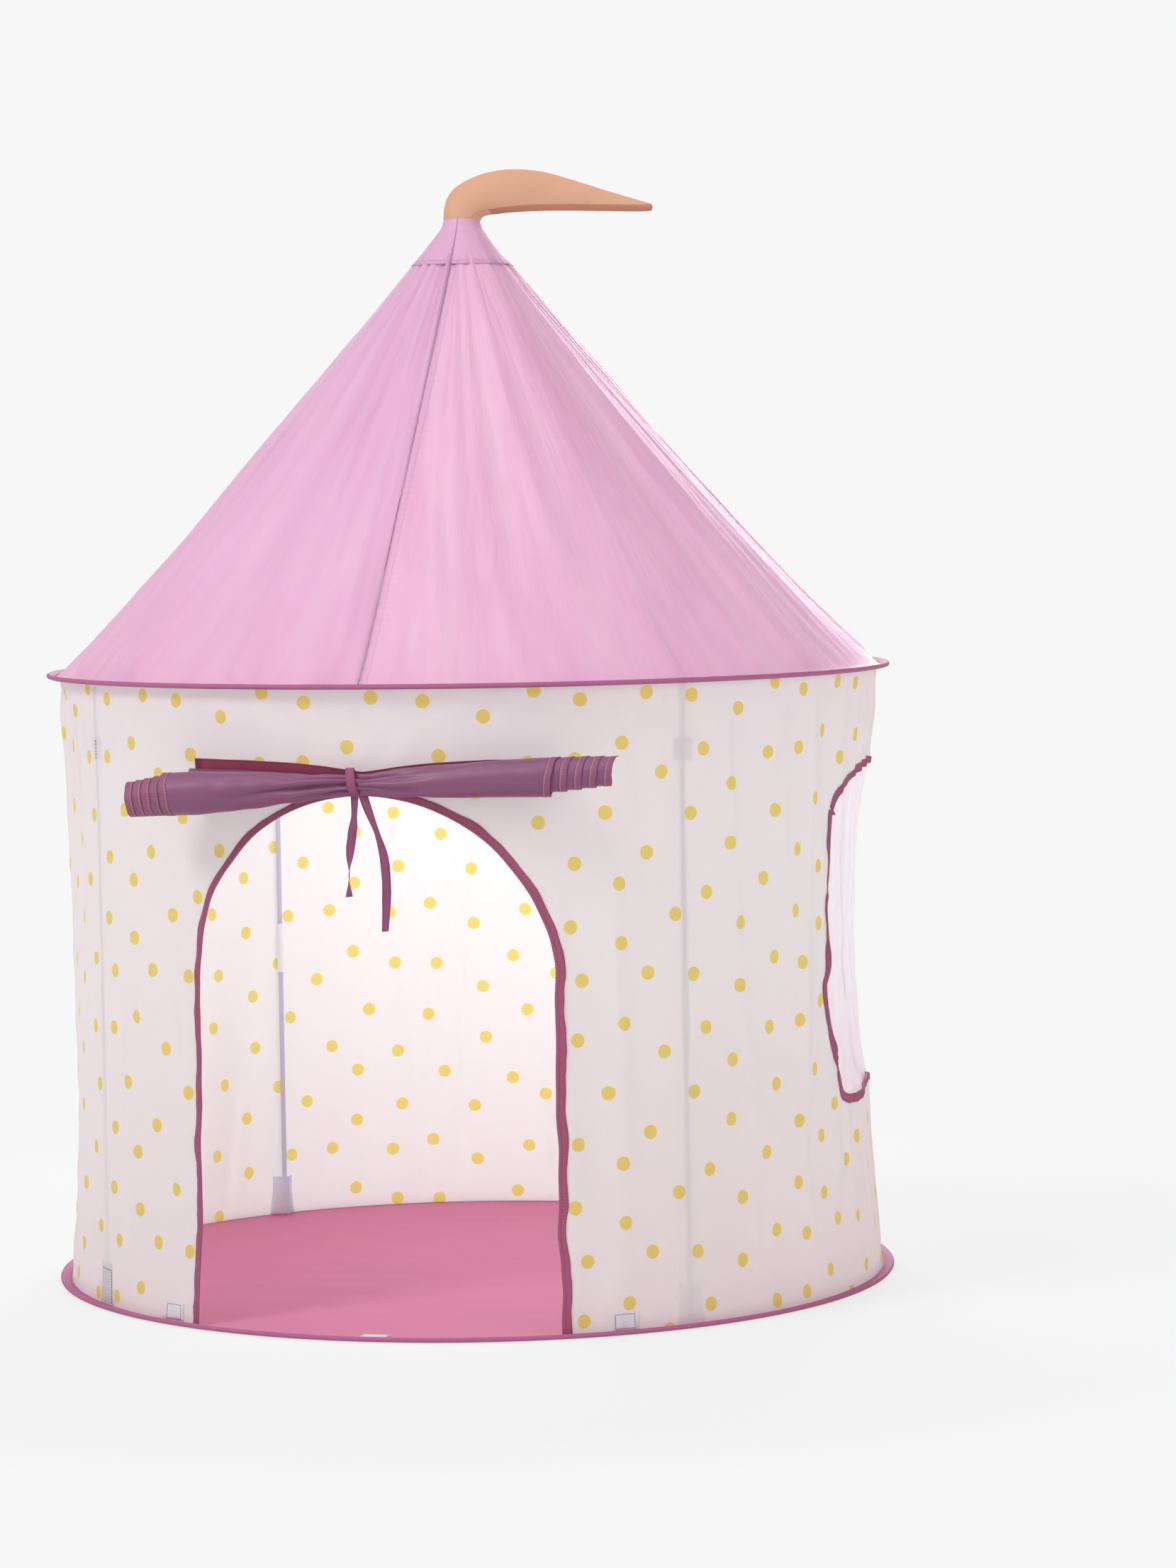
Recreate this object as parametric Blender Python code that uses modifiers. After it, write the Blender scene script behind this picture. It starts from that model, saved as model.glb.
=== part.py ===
"""A child's round play tent: two sprung rings, a cloth wall with a door and a window, and a peaked roof."""

from math import asin, cos, degrees, pi, radians, sin, sqrt

import bmesh
import bpy
from mathutils import Matrix, Vector

# Driving sizes, in metres and degrees
base_ring_radius = 0.498
eave_ring_extra = 0.0015
wall_ring_margin = 0.0145
roof_ring_margin = 0.0125
pole_inset = 0.0085
eave_height = 0.714
roof_peak_rise = 0.526
roof_top_radius = 0.022

# Bearings are turned from the door, positive towards +X
front_left_bearing = -47.5
front_right_bearing = 43.5
back_right_bearing = 135.0
back_left_bearing = 225.8

# Cloth, tapes and clearances
cloth_thickness = 0.0006
tape_thickness = 0.0006
mesh_thickness = 0.0004
cloth_gap = 0.0003
sewn_gap = 0.0012
overrun = 0.02
weld_distance = 0.00001

# Sprung rings and the folded tape round each
ring_wire_diameter = 0.004
ring_wire_clearance = 0.0007
ring_steps = 60
ring_wire_sides = 6
fold_arc_steps = 3
seam_margin = 0.0012

# Wall form
wall_ridge_draw = 0.003
wall_sag = 0.0105
foot_flare_height = 0.20
eave_flare_height = 0.185
flare_power_share = 2.0
window_sag = 0.007
window_sag_spread = 18.0
window_sag_height = 0.16
wall_steps_per_bay = 12
wall_row_shares = (0.05, 0.13, 0.24, 0.40, 0.58, 0.74, 0.86, 0.95)

# Door opening
door_half_width = 0.2065
door_eave_gap = 0.116
door_arch_rise = 0.208
arch_steps = 18
binding_width = 0.0085

# Window opening
window_bearing = 97.0
window_half_width = 0.186
window_sill_height = 0.224
window_sill_half_width = 0.152
window_corner_radius = 0.026
window_waist_rise = 0.111
window_eave_gap = 0.114
window_arch_rise = 0.105
window_arch_power_share = 2.6
corner_steps = 3

# Header tape over the door
header_half_turn = 25.0
header_above_door = 0.0280
header_tape_width = 0.0105

# Rolled-up door
roll_tilt = 2.3
roll_centre_x = 0.0150
roll_drop = 0.0145
roll_offset = 0.0215
roll_length = 0.545
roll_pinch_radius = 0.0140
roll_pinch_half_width = 0.011
roll_pinch_spread_share = 0.624
roll_left_radius = 0.0260
roll_right_radius = 0.0215
roll_sides = 20
roll_left_step_shares = (0.050, 0.108, 0.160, 0.235)
roll_right_step_shares = (0.043, 0.092, 0.160, 0.240)
roll_layer_drop_shares = (0.70, 0.78, 0.86, 0.93)
flap_steps = 8
flap_notch = 0.009
flap_grip_share = 0.55
flap_depth_share = 0.2
flap_top_gap = 0.0008

# Tie round the roll and its two tails
tie_width = 0.0105
tie_clearance = 0.0006
tie_rise = 0.0215
tie_steps = 24
tail_width = 0.0080
tail_thickness = 0.0005
short_tail_length = 0.110
long_tail_length = 0.148
short_tail_x = -0.0045
long_tail_x = 0.0070
short_tail_lean = -0.010
long_tail_lean = 0.022
short_tail_bow = -0.004
long_tail_bow = 0.008
tail_steps = 8

# Roof form
roof_sag = 0.014
roof_steps_per_bay = 10
roof_row_shares = (0.04, 0.18, 0.36, 0.55, 0.74)
panel_top_share = 0.985
panel_gap = 0.0004
cap_depth = 0.047
cap_offset = 0.0010
tip_round_radius = 0.010
tip_round_rise = 0.004

# Pole set
pole_radius = 0.0031
ferrule_radius = 0.0043
ferrule_length = 0.063
socket_radius = 0.0046
bore_clearance = 0.0005
roof_pole_clearance = 0.0005
elbow_leg = 0.030
elbow_bend = 0.008
elbow_grip = 0.021
elbow_arc_steps = 4
wall_ferrule_share = 0.4853
roof_ferrule_share = 0.5057
pole_end_gap = 0.001
tube_sides = 16

# Hub at the peak
hub_foot_radius = 0.0240
hub_top_radius = 0.0115
hub_depth = 0.026
hub_drop = 0.005
hub_socket_length = 0.034
hub_socket_grip = 0.024
hub_reach = 0.0135

# Cloth pockets and loops that hold the poles
pocket_width = 0.032
pocket_height = 0.050
pocket_lip = 0.0010
pocket_base = 0.0015
pocket_floor_gap = 0.0003
pocket_wall = 0.0008
loop_width = 0.024
loop_height = 0.026
loop_eave_gap = 0.074
sleeve_arc_steps = 6

# Pads of hook-and-loop tape
pad_thickness = 0.0008
wall_pad_width = 0.025
wall_pad_height = 0.019
left_pad_door_gap = 0.020
right_pad_door_gap = 0.040
wall_pad_lift = 0.0005
floor_pad_width = 0.028
floor_pad_depth = 0.014
floor_pad_inset = 0.0205

# Pennant
pennant_length = 0.235
pennant_height = 0.0605
pennant_half_depth = 0.0200
pennant_foot_radius = 0.0189
pennant_clearance = 0.0005
pennant_sides = 14
pennant_socket_depth = 0.0215
# Each section: left x, left z, right x, right z, half depth, as shares of length, height and half depth
pennant_section_shares = (
    (-0.0930, 0.040, 0.0900, -0.020, 1.06),
    (-0.0900, 0.250, 0.0960, 0.085, 1.02),
    (-0.0700, 0.495, 0.1170, 0.135, 0.88),
    (-0.0250, 0.700, 0.1450, 0.150, 0.70),
    (0.0570, 0.867, 0.1920, 0.167, 0.50),
    (0.1570, 0.970, 0.2570, 0.195, 0.33),
    (0.2790, 1.000, 0.3380, 0.209, 0.23),
    (0.4260, 0.930, 0.4460, 0.209, 0.19),
    (0.5870, 0.744, 0.5870, 0.195, 0.165),
    (0.7490, 0.533, 0.7490, 0.170, 0.145),
    (0.9110, 0.334, 0.9110, 0.156, 0.125),
    (0.9980, 0.226, 0.9980, 0.164, 0.100),
)

# Worked-out sizes
layer_pitch = cloth_thickness + cloth_gap
wire_radius = ring_wire_diameter / 2
fold_inner_radius = wire_radius + ring_wire_clearance
fold_radius = fold_inner_radius + tape_thickness
seam_height = 2 * tape_thickness + 2 * cloth_thickness + 3 * cloth_gap
wall_end_radius = base_ring_radius - wall_ring_margin
eave_ring_radius = base_ring_radius + eave_ring_extra
roof_foot_radius = eave_ring_radius - roof_ring_margin
pole_circle_radius = wall_end_radius - pole_inset
base_wire_radius = base_ring_radius - fold_radius
eave_wire_radius = eave_ring_radius - fold_radius
base_brim_inner = wall_end_radius + sewn_gap
eave_brim_inner = roof_foot_radius + sewn_gap
lower_layer = tape_thickness + cloth_gap
upper_layer = lower_layer + layer_pitch
wall_foot_height = upper_layer + cloth_thickness
wall_top_height = eave_height + lower_layer
roof_foot_height = eave_height + upper_layer + cloth_thickness
roof_top_height = eave_height + roof_peak_rise
roof_run = roof_foot_radius - roof_top_radius
roof_rise = roof_top_height - roof_foot_height
roof_length = sqrt(roof_run ** 2 + roof_rise ** 2)
tip_round_height = roof_top_height + (roof_top_radius - tip_round_radius) * roof_rise / roof_run
roof_tip_height = tip_round_height + tip_round_rise
pennant_hem_height = roof_top_height + (roof_top_radius - pennant_foot_radius) * roof_rise / roof_run
hub_middle_height = roof_top_height - hub_drop
wall_ferrule_height = eave_height * wall_ferrule_share
roof_ferrule_height = eave_height + roof_peak_rise * roof_ferrule_share
roof_pole_depth = cloth_thickness + roof_pole_clearance + socket_radius
bore_radius = pole_radius + bore_clearance
door_sill = seam_height
door_top = eave_height - door_eave_gap
door_straight_height = door_top - door_arch_rise
window_waist_height = window_sill_height + window_waist_rise
window_straight_height = eave_height - window_eave_gap - window_arch_rise
header_foot = door_top + header_above_door
header_top = header_foot + header_tape_width
roll_centre_z = header_foot - roll_drop
floor_pad_radius = wall_end_radius - floor_pad_inset
roll_axis_y = -(wall_end_radius - wall_ridge_draw - wall_sag + roll_offset)
pole_bearings = {
    "front_left": front_left_bearing,
    "front_right": front_right_bearing,
    "back_right": back_right_bearing,
    "back_left": back_left_bearing,
}
pole_foot_height = upper_layer + cloth_thickness + pocket_floor_gap + pocket_base + cloth_gap

# Colour, roughness and metallic value of each material
finishes = {
    "wall_polyester": ((0.80, 0.73, 0.74), 0.75, 0.0),
    "roof_polyester": ((0.84, 0.47, 0.70), 0.62, 0.0),
    "floor_polyester": ((0.60, 0.20, 0.33), 0.70, 0.0),
    "ring_tape": ((0.50, 0.16, 0.33), 0.70, 0.0),
    "edge_binding": ((0.38, 0.10, 0.21), 0.72, 0.0),
    "door_polyester": ((0.40, 0.17, 0.36), 0.60, 0.0),
    "window_tulle": ((0.86, 0.85, 0.88), 0.85, 0.0),
    "pennant_cloth": ((0.78, 0.44, 0.28), 0.70, 0.0),
    "pole_glassfibre": ((0.62, 0.60, 0.68), 0.45, 0.0),
    "ferrule_plastic": ((0.90, 0.91, 0.92), 0.35, 0.0),
    "pocket_cloth": ((0.58, 0.57, 0.66), 0.75, 0.0),
    "fastener_pad": ((0.83, 0.80, 0.86), 0.90, 0.0),
    "ring_steel": ((0.55, 0.55, 0.57), 0.30, 1.0),
}


def clear_scene():
    for thing in list(bpy.data.objects):
        bpy.data.objects.remove(thing, do_unlink=True)
    for old in list(bpy.data.collections):
        bpy.data.collections.remove(old)


def make_collection(name):
    made = bpy.data.collections.new(name)
    bpy.context.scene.collection.children.link(made)
    return made


def make_material(name):
    colour, roughness, metallic = finishes[name]
    material = bpy.data.materials.get(name) or bpy.data.materials.new(name)
    material.use_nodes = True
    shader = material.node_tree.nodes["Principled BSDF"]
    shader.inputs["Base Color"].default_value = (*colour, 1.0)
    shader.inputs["Roughness"].default_value = roughness
    shader.inputs["Metallic"].default_value = metallic
    return material


def add_part(name, mesh, finish, smooth_angle=35.0):
    """Link a finished mesh as a named piece of the tent."""
    mesh.name = name
    mesh.materials.clear()
    mesh.materials.append(make_material(finish))
    mesh.shade_smooth()
    mesh.set_sharp_from_angle(angle=radians(smooth_angle))
    part = bpy.data.objects.new(name, mesh)
    parts.objects.link(part)
    return part


def add_cutter(name, mesh):
    cutter = bpy.data.objects.new(name, mesh)
    cutters.objects.link(cutter)
    cutter.hide_render = True
    cutter.display_type = "WIRE"
    return cutter


def mesh_from(bm, name, face_out=True):
    if face_out:
        bmesh.ops.recalc_face_normals(bm, faces=bm.faces)
    mesh = bpy.data.meshes.new(name)
    bm.to_mesh(mesh)
    bm.free()
    return mesh


def combine(part, cutter, operation):
    step = part.modifiers.new(cutter.name, "BOOLEAN")
    step.operation = operation
    step.object = cutter
    step.solver = "EXACT"
    return step


def thicken(part, thickness):
    """Fill a shell inwards from its outer face."""
    shell = part.modifiers.new("Cloth thickness", "SOLIDIFY")
    shell.thickness = thickness
    shell.offset = -1.0
    shell.use_even_offset = True
    return shell


def settled_mesh(thing):
    """The mesh that an object's modifiers or curve settings make, in its own space."""
    bpy.context.view_layer.update()
    graph = bpy.context.evaluated_depsgraph_get()
    return bpy.data.meshes.new_from_object(thing.evaluated_get(graph))


def welded_mesh(thing, name):
    """Turn a curve into a closed mesh in world space and remove the curve."""
    mesh = settled_mesh(thing)
    mesh.transform(thing.matrix_world)
    bpy.data.objects.remove(thing, do_unlink=True)
    bm = bmesh.new()
    bm.from_mesh(mesh)
    bmesh.ops.remove_doubles(bm, verts=bm.verts, dist=weld_distance)
    return mesh_from(bm, name)


def at_bearing(bearing, radius, height):
    turn = radians(bearing)
    return Vector((radius * sin(turn), -radius * cos(turn), height))


def facing(bearing, radius=0.0, height=0.0):
    """A frame on the wall: X along the cloth, Y up, Z outwards."""
    upright = Matrix.Rotation(pi / 2, 4, "X")
    turned = Matrix.Rotation(radians(bearing), 4, "Z")
    return Matrix.Translation(at_bearing(bearing, radius, height)) @ turned @ upright


def flat_prism(name, outlines, depth, frame):
    """A plate of the given depth from outlines in its own XY plane; a second outline is a hole."""
    curve = bpy.data.curves.new(name, "CURVE")
    curve.dimensions = "2D"
    curve.fill_mode = "BOTH"
    curve.extrude = depth / 2
    for outline in outlines:
        spline = curve.splines.new("POLY")
        spline.points.add(len(outline) - 1)
        for point, (x, y) in zip(spline.points, outline):
            point.co = (x, y, 0.0, 1.0)
        spline.use_cyclic_u = True
    thing = bpy.data.objects.new(name, curve)
    cutters.objects.link(thing)
    thing.matrix_world = frame
    bpy.context.view_layer.update()
    return welded_mesh(thing, name)


def rod_mesh(name, points, radius, resolution=2):
    curve = bpy.data.curves.new(name, "CURVE")
    curve.dimensions = "3D"
    curve.bevel_depth = radius
    curve.bevel_resolution = resolution
    curve.use_fill_caps = True
    spline = curve.splines.new("POLY")
    spline.points.add(len(points) - 1)
    for point, place in zip(spline.points, points):
        point.co = (*place, 1.0)
    thing = bpy.data.objects.new(name, curve)
    cutters.objects.link(thing)
    bpy.context.view_layer.update()
    return welded_mesh(thing, name)


def turned_mesh(name, profile, steps, closed=True):
    """Turn a profile of (radius, height) points, listed down its outer side, about Z."""
    bm = bmesh.new()
    points = [bm.verts.new((radius, 0.0, height)) for radius, height in profile]
    for first, second in zip(points, points[1:]):
        bm.edges.new((first, second))
    if closed:
        bm.edges.new((points[-1], points[0]))
    thing = add_cutter(name, mesh_from(bm, name, face_out=False))
    turn = thing.modifiers.new("Turn", "SCREW")
    turn.angle = 2 * pi
    turn.steps = steps
    turn.render_steps = steps
    turn.use_merge_vertices = True
    turn.merge_threshold = weld_distance
    mesh = settled_mesh(thing)
    bpy.data.objects.remove(thing, do_unlink=True)
    bm = bmesh.new()
    bm.from_mesh(mesh)
    bmesh.ops.remove_doubles(bm, verts=bm.verts, dist=weld_distance)
    return mesh_from(bm, name)


def sheet_mesh(name, columns, rows, place, closed=False):
    """A grid of cloth, faces out, whose vertices place(column, row) sets."""
    across = len(columns) - 1 + (1 if closed else 0)
    up = len(rows) - 1
    bm = bmesh.new()
    bmesh.ops.create_grid(bm, x_segments=across, y_segments=up, size=0.5)
    for vert in bm.verts:
        column = round((vert.co.x + 0.5) * across) % len(columns)
        row = round((vert.co.y + 0.5) * up)
        vert.co = place(columns[column], rows[row])
    bmesh.ops.remove_doubles(bm, verts=bm.verts, dist=weld_distance)
    bmesh.ops.triangulate(bm, faces=bm.faces, quad_method="FIXED")
    return mesh_from(bm, name, face_out=False)


def bays():
    """The bearings of the two poles beside each bay, all round the tent."""
    stops = [front_left_bearing, front_right_bearing, back_right_bearing, back_left_bearing]
    return list(zip(stops, stops[1:] + [front_left_bearing + 360.0]))


def bay_columns(steps_per_bay):
    """Bearings all round the tent, with one on every pole."""
    columns = []
    for start, end in bays():
        for step in range(steps_per_bay):
            columns.append(start + (end - start) * step / steps_per_bay)
    return columns


def bay_share(bearing):
    """How far a bearing lies between the two poles beside it, from 0 to 1."""
    turned = (bearing - front_left_bearing) % 360.0 + front_left_bearing
    for start, end in bays():
        if start <= turned <= end:
            return (turned - start) / (end - start)
    return 0.0


def turn_between(bearing, other):
    return (bearing - other + 180.0) % 360.0 - 180.0


def widest_facet():
    """The widest turn from one column of the wall to the next."""
    return max(end - start for start, end in bays()) / wall_steps_per_bay


def turn_across(half_width):
    """Half the turn of wall behind a piece of that half width, with two columns to spare."""
    return degrees(asin(half_width / pole_circle_radius)) + 2 * widest_facet()


def wall_radius(bearing, height):
    """Outer radius of the wall cloth: flared to the rings, drawn in between the poles."""
    foot_share = max(0.0, 1.0 - (height - wall_foot_height) / foot_flare_height)
    eave_share = max(0.0, 1.0 - (wall_top_height - height) / eave_flare_height)
    waist = 1.0 - foot_share ** flare_power_share - eave_share ** flare_power_share
    drawn = wall_ridge_draw + wall_sag * sin(pi * bay_share(bearing))
    window_middle = (window_sill_height + window_straight_height) / 2
    across = turn_between(bearing, window_bearing) / window_sag_spread
    up = (height - window_middle) / window_sag_height
    slack = window_sag * 2.0 ** -(across ** 2 + up ** 2)
    return wall_end_radius - max(0.0, waist) * (drawn + slack)


def roof_radius(bearing, share, offset=0.0):
    """Outer radius of the roof cloth at a share of its rise: straight on the poles, slack between."""
    straight = roof_foot_radius - roof_run * share
    slack = roof_sag * sqrt(max(0.0, sin(pi * share))) * sin(pi * bay_share(bearing))
    return straight - slack + offset * roof_length / roof_rise


def roof_height(share):
    return roof_foot_height + roof_rise * share


# Rings and their tapes


def brim_profile(inner_radius, wire_place, foot_height):
    """A tape folded round the ring wire, open towards the tent; its two edges hold the cloths."""
    middle = foot_height + fold_radius
    outer = [(inner_radius, foot_height + seam_height)]
    for step in range(fold_arc_steps + 1):
        turn = pi / 2 - pi * step / fold_arc_steps
        outer.append((wire_place + fold_radius * cos(turn), middle + fold_radius * sin(turn)))
    outer.append((inner_radius, foot_height))
    inside = [(inner_radius, foot_height + tape_thickness)]
    for step in range(fold_arc_steps + 1):
        turn = -pi / 2 + pi * step / fold_arc_steps
        inside.append((wire_place + fold_inner_radius * cos(turn), middle + fold_inner_radius * sin(turn)))
    inside.append((inner_radius, foot_height + seam_height - tape_thickness))
    return outer + inside


def build_ring(prefix, inner_radius, wire_place, foot_height):
    bpy.ops.mesh.primitive_torus_add(
        major_segments=ring_steps,
        minor_segments=ring_wire_sides,
        major_radius=wire_place,
        minor_radius=wire_radius,
        location=(0, 0, foot_height + fold_radius),
    )
    hoop = bpy.context.object
    for owner in list(hoop.users_collection):
        owner.objects.unlink(hoop)
    hoop.name = prefix + "_hoop"
    parts.objects.link(hoop)
    hoop.data.materials.append(make_material("ring_steel"))
    hoop.data.shade_smooth()
    profile = brim_profile(inner_radius, wire_place, foot_height)
    add_part(prefix + "_brim", turned_mesh(prefix + "_brim", profile, ring_steps), "ring_tape")


def build_floor():
    """The floor cloth: flat inside the wall, with its edge lifted between the ring tape's sides."""
    edge = base_wire_radius - wire_radius - seam_margin
    lifted = wall_end_radius - sewn_gap
    flat = lifted - layer_pitch * 5
    profile = [
        (0.0, cloth_thickness),
        (flat, cloth_thickness),
        (lifted, lower_layer + cloth_thickness),
        (edge, lower_layer + cloth_thickness),
        (edge, lower_layer),
        (lifted, lower_layer),
        (flat, 0.0),
        (0.0, 0.0),
    ]
    add_part("floor_sheet", turned_mesh("floor_sheet", profile, ring_steps, closed=False), "floor_polyester")


# Wall, door and window


def wall_rows():
    """Rows up the wall: the hem in the base ring, the face, and the hem in the eave ring."""
    edge_low = base_wire_radius - wire_radius - seam_margin
    edge_high = eave_wire_radius - wire_radius - seam_margin
    rows = [("hem", edge_low, wall_foot_height), ("hem", wall_end_radius, wall_foot_height)]
    for share in wall_row_shares:
        rows.append(("face", 0.0, wall_foot_height + (wall_top_height - wall_foot_height) * share))
    rows.append(("hem", wall_end_radius, wall_top_height))
    rows.append(("hem", edge_high, wall_top_height))
    return rows


def wall_place(bearing, row, offset=0.0):
    kind, radius, height = row
    if kind == "face":
        radius = wall_radius(bearing, height)
    return at_bearing(bearing, radius + offset, height)


def wall_shell(name, bearing, spread, outer, inner):
    """A solid that follows the wall from an inner to an outer offset, to each side of a bearing."""
    columns = [c + turn for turn in (-360.0, 0.0) for c in bay_columns(wall_steps_per_bay)]
    columns = [c for c in sorted(columns) if bearing - spread <= c <= bearing + spread]
    rows = [row for row in wall_rows() if row[0] == "face"]
    rows.insert(0, ("face", 0.0, wall_foot_height))
    rows.append(("face", 0.0, wall_top_height))

    def place(column, row):
        return wall_place(column, row, outer)

    mesh = sheet_mesh(name, columns, rows, place)
    thing = add_cutter(name, mesh)
    thicken(thing, outer - inner)
    solid = settled_mesh(thing)
    bpy.data.objects.remove(thing, do_unlink=True)
    return solid


def arch_outline(half_width, foot, straight, rise, power=2.0):
    """An arch in the wall's plane, from its right foot over the top to its left foot."""
    points = [(half_width, foot)]
    for step in range(arch_steps + 1):
        turn = pi * step / arch_steps
        across = abs(cos(turn)) ** (2 / power)
        up = sin(turn) ** (2 / power) if 0 < step < arch_steps else 0.0
        points.append((half_width * (across if cos(turn) > 0 else -across), straight + rise * up))
    points.append((-half_width, foot))
    return points


def sill_corner(side, half_width, foot, radius):
    """The round corner at a window's sill, from the sill up its side."""
    points = []
    for step in range(corner_steps + 1):
        turn = -pi / 2 + pi / 2 * step / corner_steps
        across = half_width - radius + radius * cos(turn)
        points.append((side * across, foot + radius + radius * sin(turn)))
    return points


def door_outline(grow, foot):
    return arch_outline(door_half_width + grow, foot, door_straight_height, door_arch_rise + grow)


def window_outline(grow):
    rise = window_arch_rise + grow
    half_width = window_half_width + grow
    power = window_arch_power_share
    arch = arch_outline(half_width, window_waist_height, window_straight_height, rise, power)
    sill = window_sill_height - grow
    corner = window_corner_radius + grow
    right = sill_corner(1, window_sill_half_width + grow, sill, corner)
    left = sill_corner(-1, window_sill_half_width + grow, sill, corner)
    return right + arch + list(reversed(left))


def opening_cutter(name, outline, bearing):
    frame = facing(bearing, wall_end_radius * 5 / 4)
    return add_cutter(name, flat_prism(name, [outline], wall_end_radius, frame))


def build_wall():
    columns = bay_columns(wall_steps_per_bay)
    mesh = sheet_mesh("wall_cloth", columns, wall_rows(), wall_place, closed=True)
    wall = add_part("wall_cloth", mesh, "wall_polyester")
    thicken(wall, cloth_thickness)
    combine(wall, opening_cutter("door_cut", door_outline(0.0, door_sill), 0.0), "DIFFERENCE")
    combine(wall, opening_cutter("window_cut", window_outline(0.0), window_bearing), "DIFFERENCE")


def build_binding(name, outline, bearing, half_width):
    """A tape folded over the cut edge of the wall, clear of the cloth by a cloth gap all round."""
    outer = cloth_gap + tape_thickness
    slot_depth = cloth_thickness + cloth_gap
    spread = turn_across(half_width + binding_width)
    body = wall_shell(name, bearing, spread, outer, -slot_depth - tape_thickness)
    slot = wall_shell(name + "_slot", bearing, spread, cloth_gap, -slot_depth)
    binding = add_part(name, body, "edge_binding")
    outside = opening_cutter(name + "_outside", outline(binding_width), bearing)
    inside = opening_cutter(name + "_inside", outline(-cloth_gap - tape_thickness), bearing)
    combine(binding, outside, "INTERSECT")
    combine(binding, inside, "DIFFERENCE")
    slot_cutter = add_cutter(name + "_slot", slot)
    kept = opening_cutter(name + "_fold", outline(-cloth_gap), bearing)
    combine(slot_cutter, kept, "DIFFERENCE")
    combine(binding, slot_cutter, "DIFFERENCE")
    return binding


def door_binding_outline(grow):
    foot = door_sill + cloth_gap if grow > 0 else door_sill - overrun
    return door_outline(grow, foot)


def build_door_edge():
    build_binding("door_binding", door_binding_outline, 0.0, door_half_width)


def build_window():
    build_binding("window_binding", window_outline, window_bearing, window_half_width)
    inner_face = -cloth_thickness - tape_thickness - 3 * cloth_gap
    spread = turn_across(window_half_width + binding_width)
    solid = wall_shell("window_mesh", window_bearing, spread, inner_face, inner_face - mesh_thickness)
    net = add_part("window_mesh", solid, "window_tulle")
    margin = binding_width / 2
    combine(net, opening_cutter("window_mesh_edge", window_outline(margin), window_bearing), "INTERSECT")


def wall_patch(name, width, foot, top, bearing, thickness, finish):
    """A strip sewn on the outside of the wall: the wall's own curve, cut to a box."""
    outline = box_outline(width, foot, top)
    solid = wall_shell(name, bearing, turn_across(width / 2), cloth_gap + thickness, cloth_gap)
    patch = add_part(name, solid, finish)
    combine(patch, opening_cutter(name + "_edge", outline, bearing), "INTERSECT")
    return patch


def box_outline(width, foot, top):
    return [(-width / 2, foot), (width / 2, foot), (width / 2, top), (-width / 2, top)]


def build_header():
    width = 2 * wall_end_radius * sin(radians(header_half_turn))
    wall_patch("header_tape", width, header_foot, header_top, 0.0, tape_thickness, "edge_binding")


def build_pads():
    foot = seam_height + wall_pad_lift
    top = foot + wall_pad_height
    pads = (("left_wall_pad", -1, left_pad_door_gap), ("right_wall_pad", 1, right_pad_door_gap))
    for name, side, gap in pads:
        beside = door_half_width + binding_width + gap + wall_pad_width / 2
        bearing = side * degrees(asin(beside / wall_end_radius))
        wall_patch(name, wall_pad_width, foot, top, bearing, pad_thickness, "fastener_pad")
    outline = box_outline(floor_pad_width, -floor_pad_depth / 2, floor_pad_depth / 2)
    height = cloth_thickness + cloth_gap + pad_thickness / 2
    frame = Matrix.Translation((0.0, -floor_pad_radius, height))
    add_part("floor_pad", flat_prism("floor_pad", [outline], pad_thickness, frame), "fastener_pad")


# Door rolled up under the header


def roll_profile():
    """Radius and place along the roll: pinched at the tie, stepped where each wider turn ends."""
    half = roll_length / 2
    pinch_spread = half * roll_pinch_spread_share
    profile = []
    left_steps = [-half + share * half for share in (0.0,) + roll_left_step_shares]
    right_steps = [half - share * half for share in (0.0,) + roll_right_step_shares]
    profile.append((0.0, -half))
    for index, along in enumerate(left_steps[:-1]):
        radius = roll_left_radius * roll_layer_drop_shares[index]
        profile.append((radius, along))
        profile.append((radius, left_steps[index + 1]))
    tie_along = -roll_centre_x
    profile.append((roll_left_radius, left_steps[-1]))
    profile.append((roll_left_radius, tie_along - pinch_spread))
    profile.append((roll_pinch_radius, tie_along - roll_pinch_half_width))
    profile.append((roll_pinch_radius, tie_along + roll_pinch_half_width))
    profile.append((roll_right_radius, tie_along + pinch_spread))
    profile.append((roll_right_radius, right_steps[-1]))
    for index in reversed(range(len(right_steps) - 1)):
        radius = roll_right_radius * roll_layer_drop_shares[index]
        profile.append((radius, right_steps[index + 1]))
        profile.append((radius, right_steps[index]))
    profile.append((0.0, half))
    return profile


def roll_frame():
    """Turns the roll's own Z along the door, with its small tilt."""
    lay = Matrix.Rotation(pi / 2, 4, "Y")
    tilt = Matrix.Rotation(radians(-roll_tilt), 4, "Y")
    height = roll_centre_z + roll_centre_x * sin(radians(roll_tilt))
    return Matrix.Translation((roll_centre_x, roll_axis_y, height)) @ tilt @ lay


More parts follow.
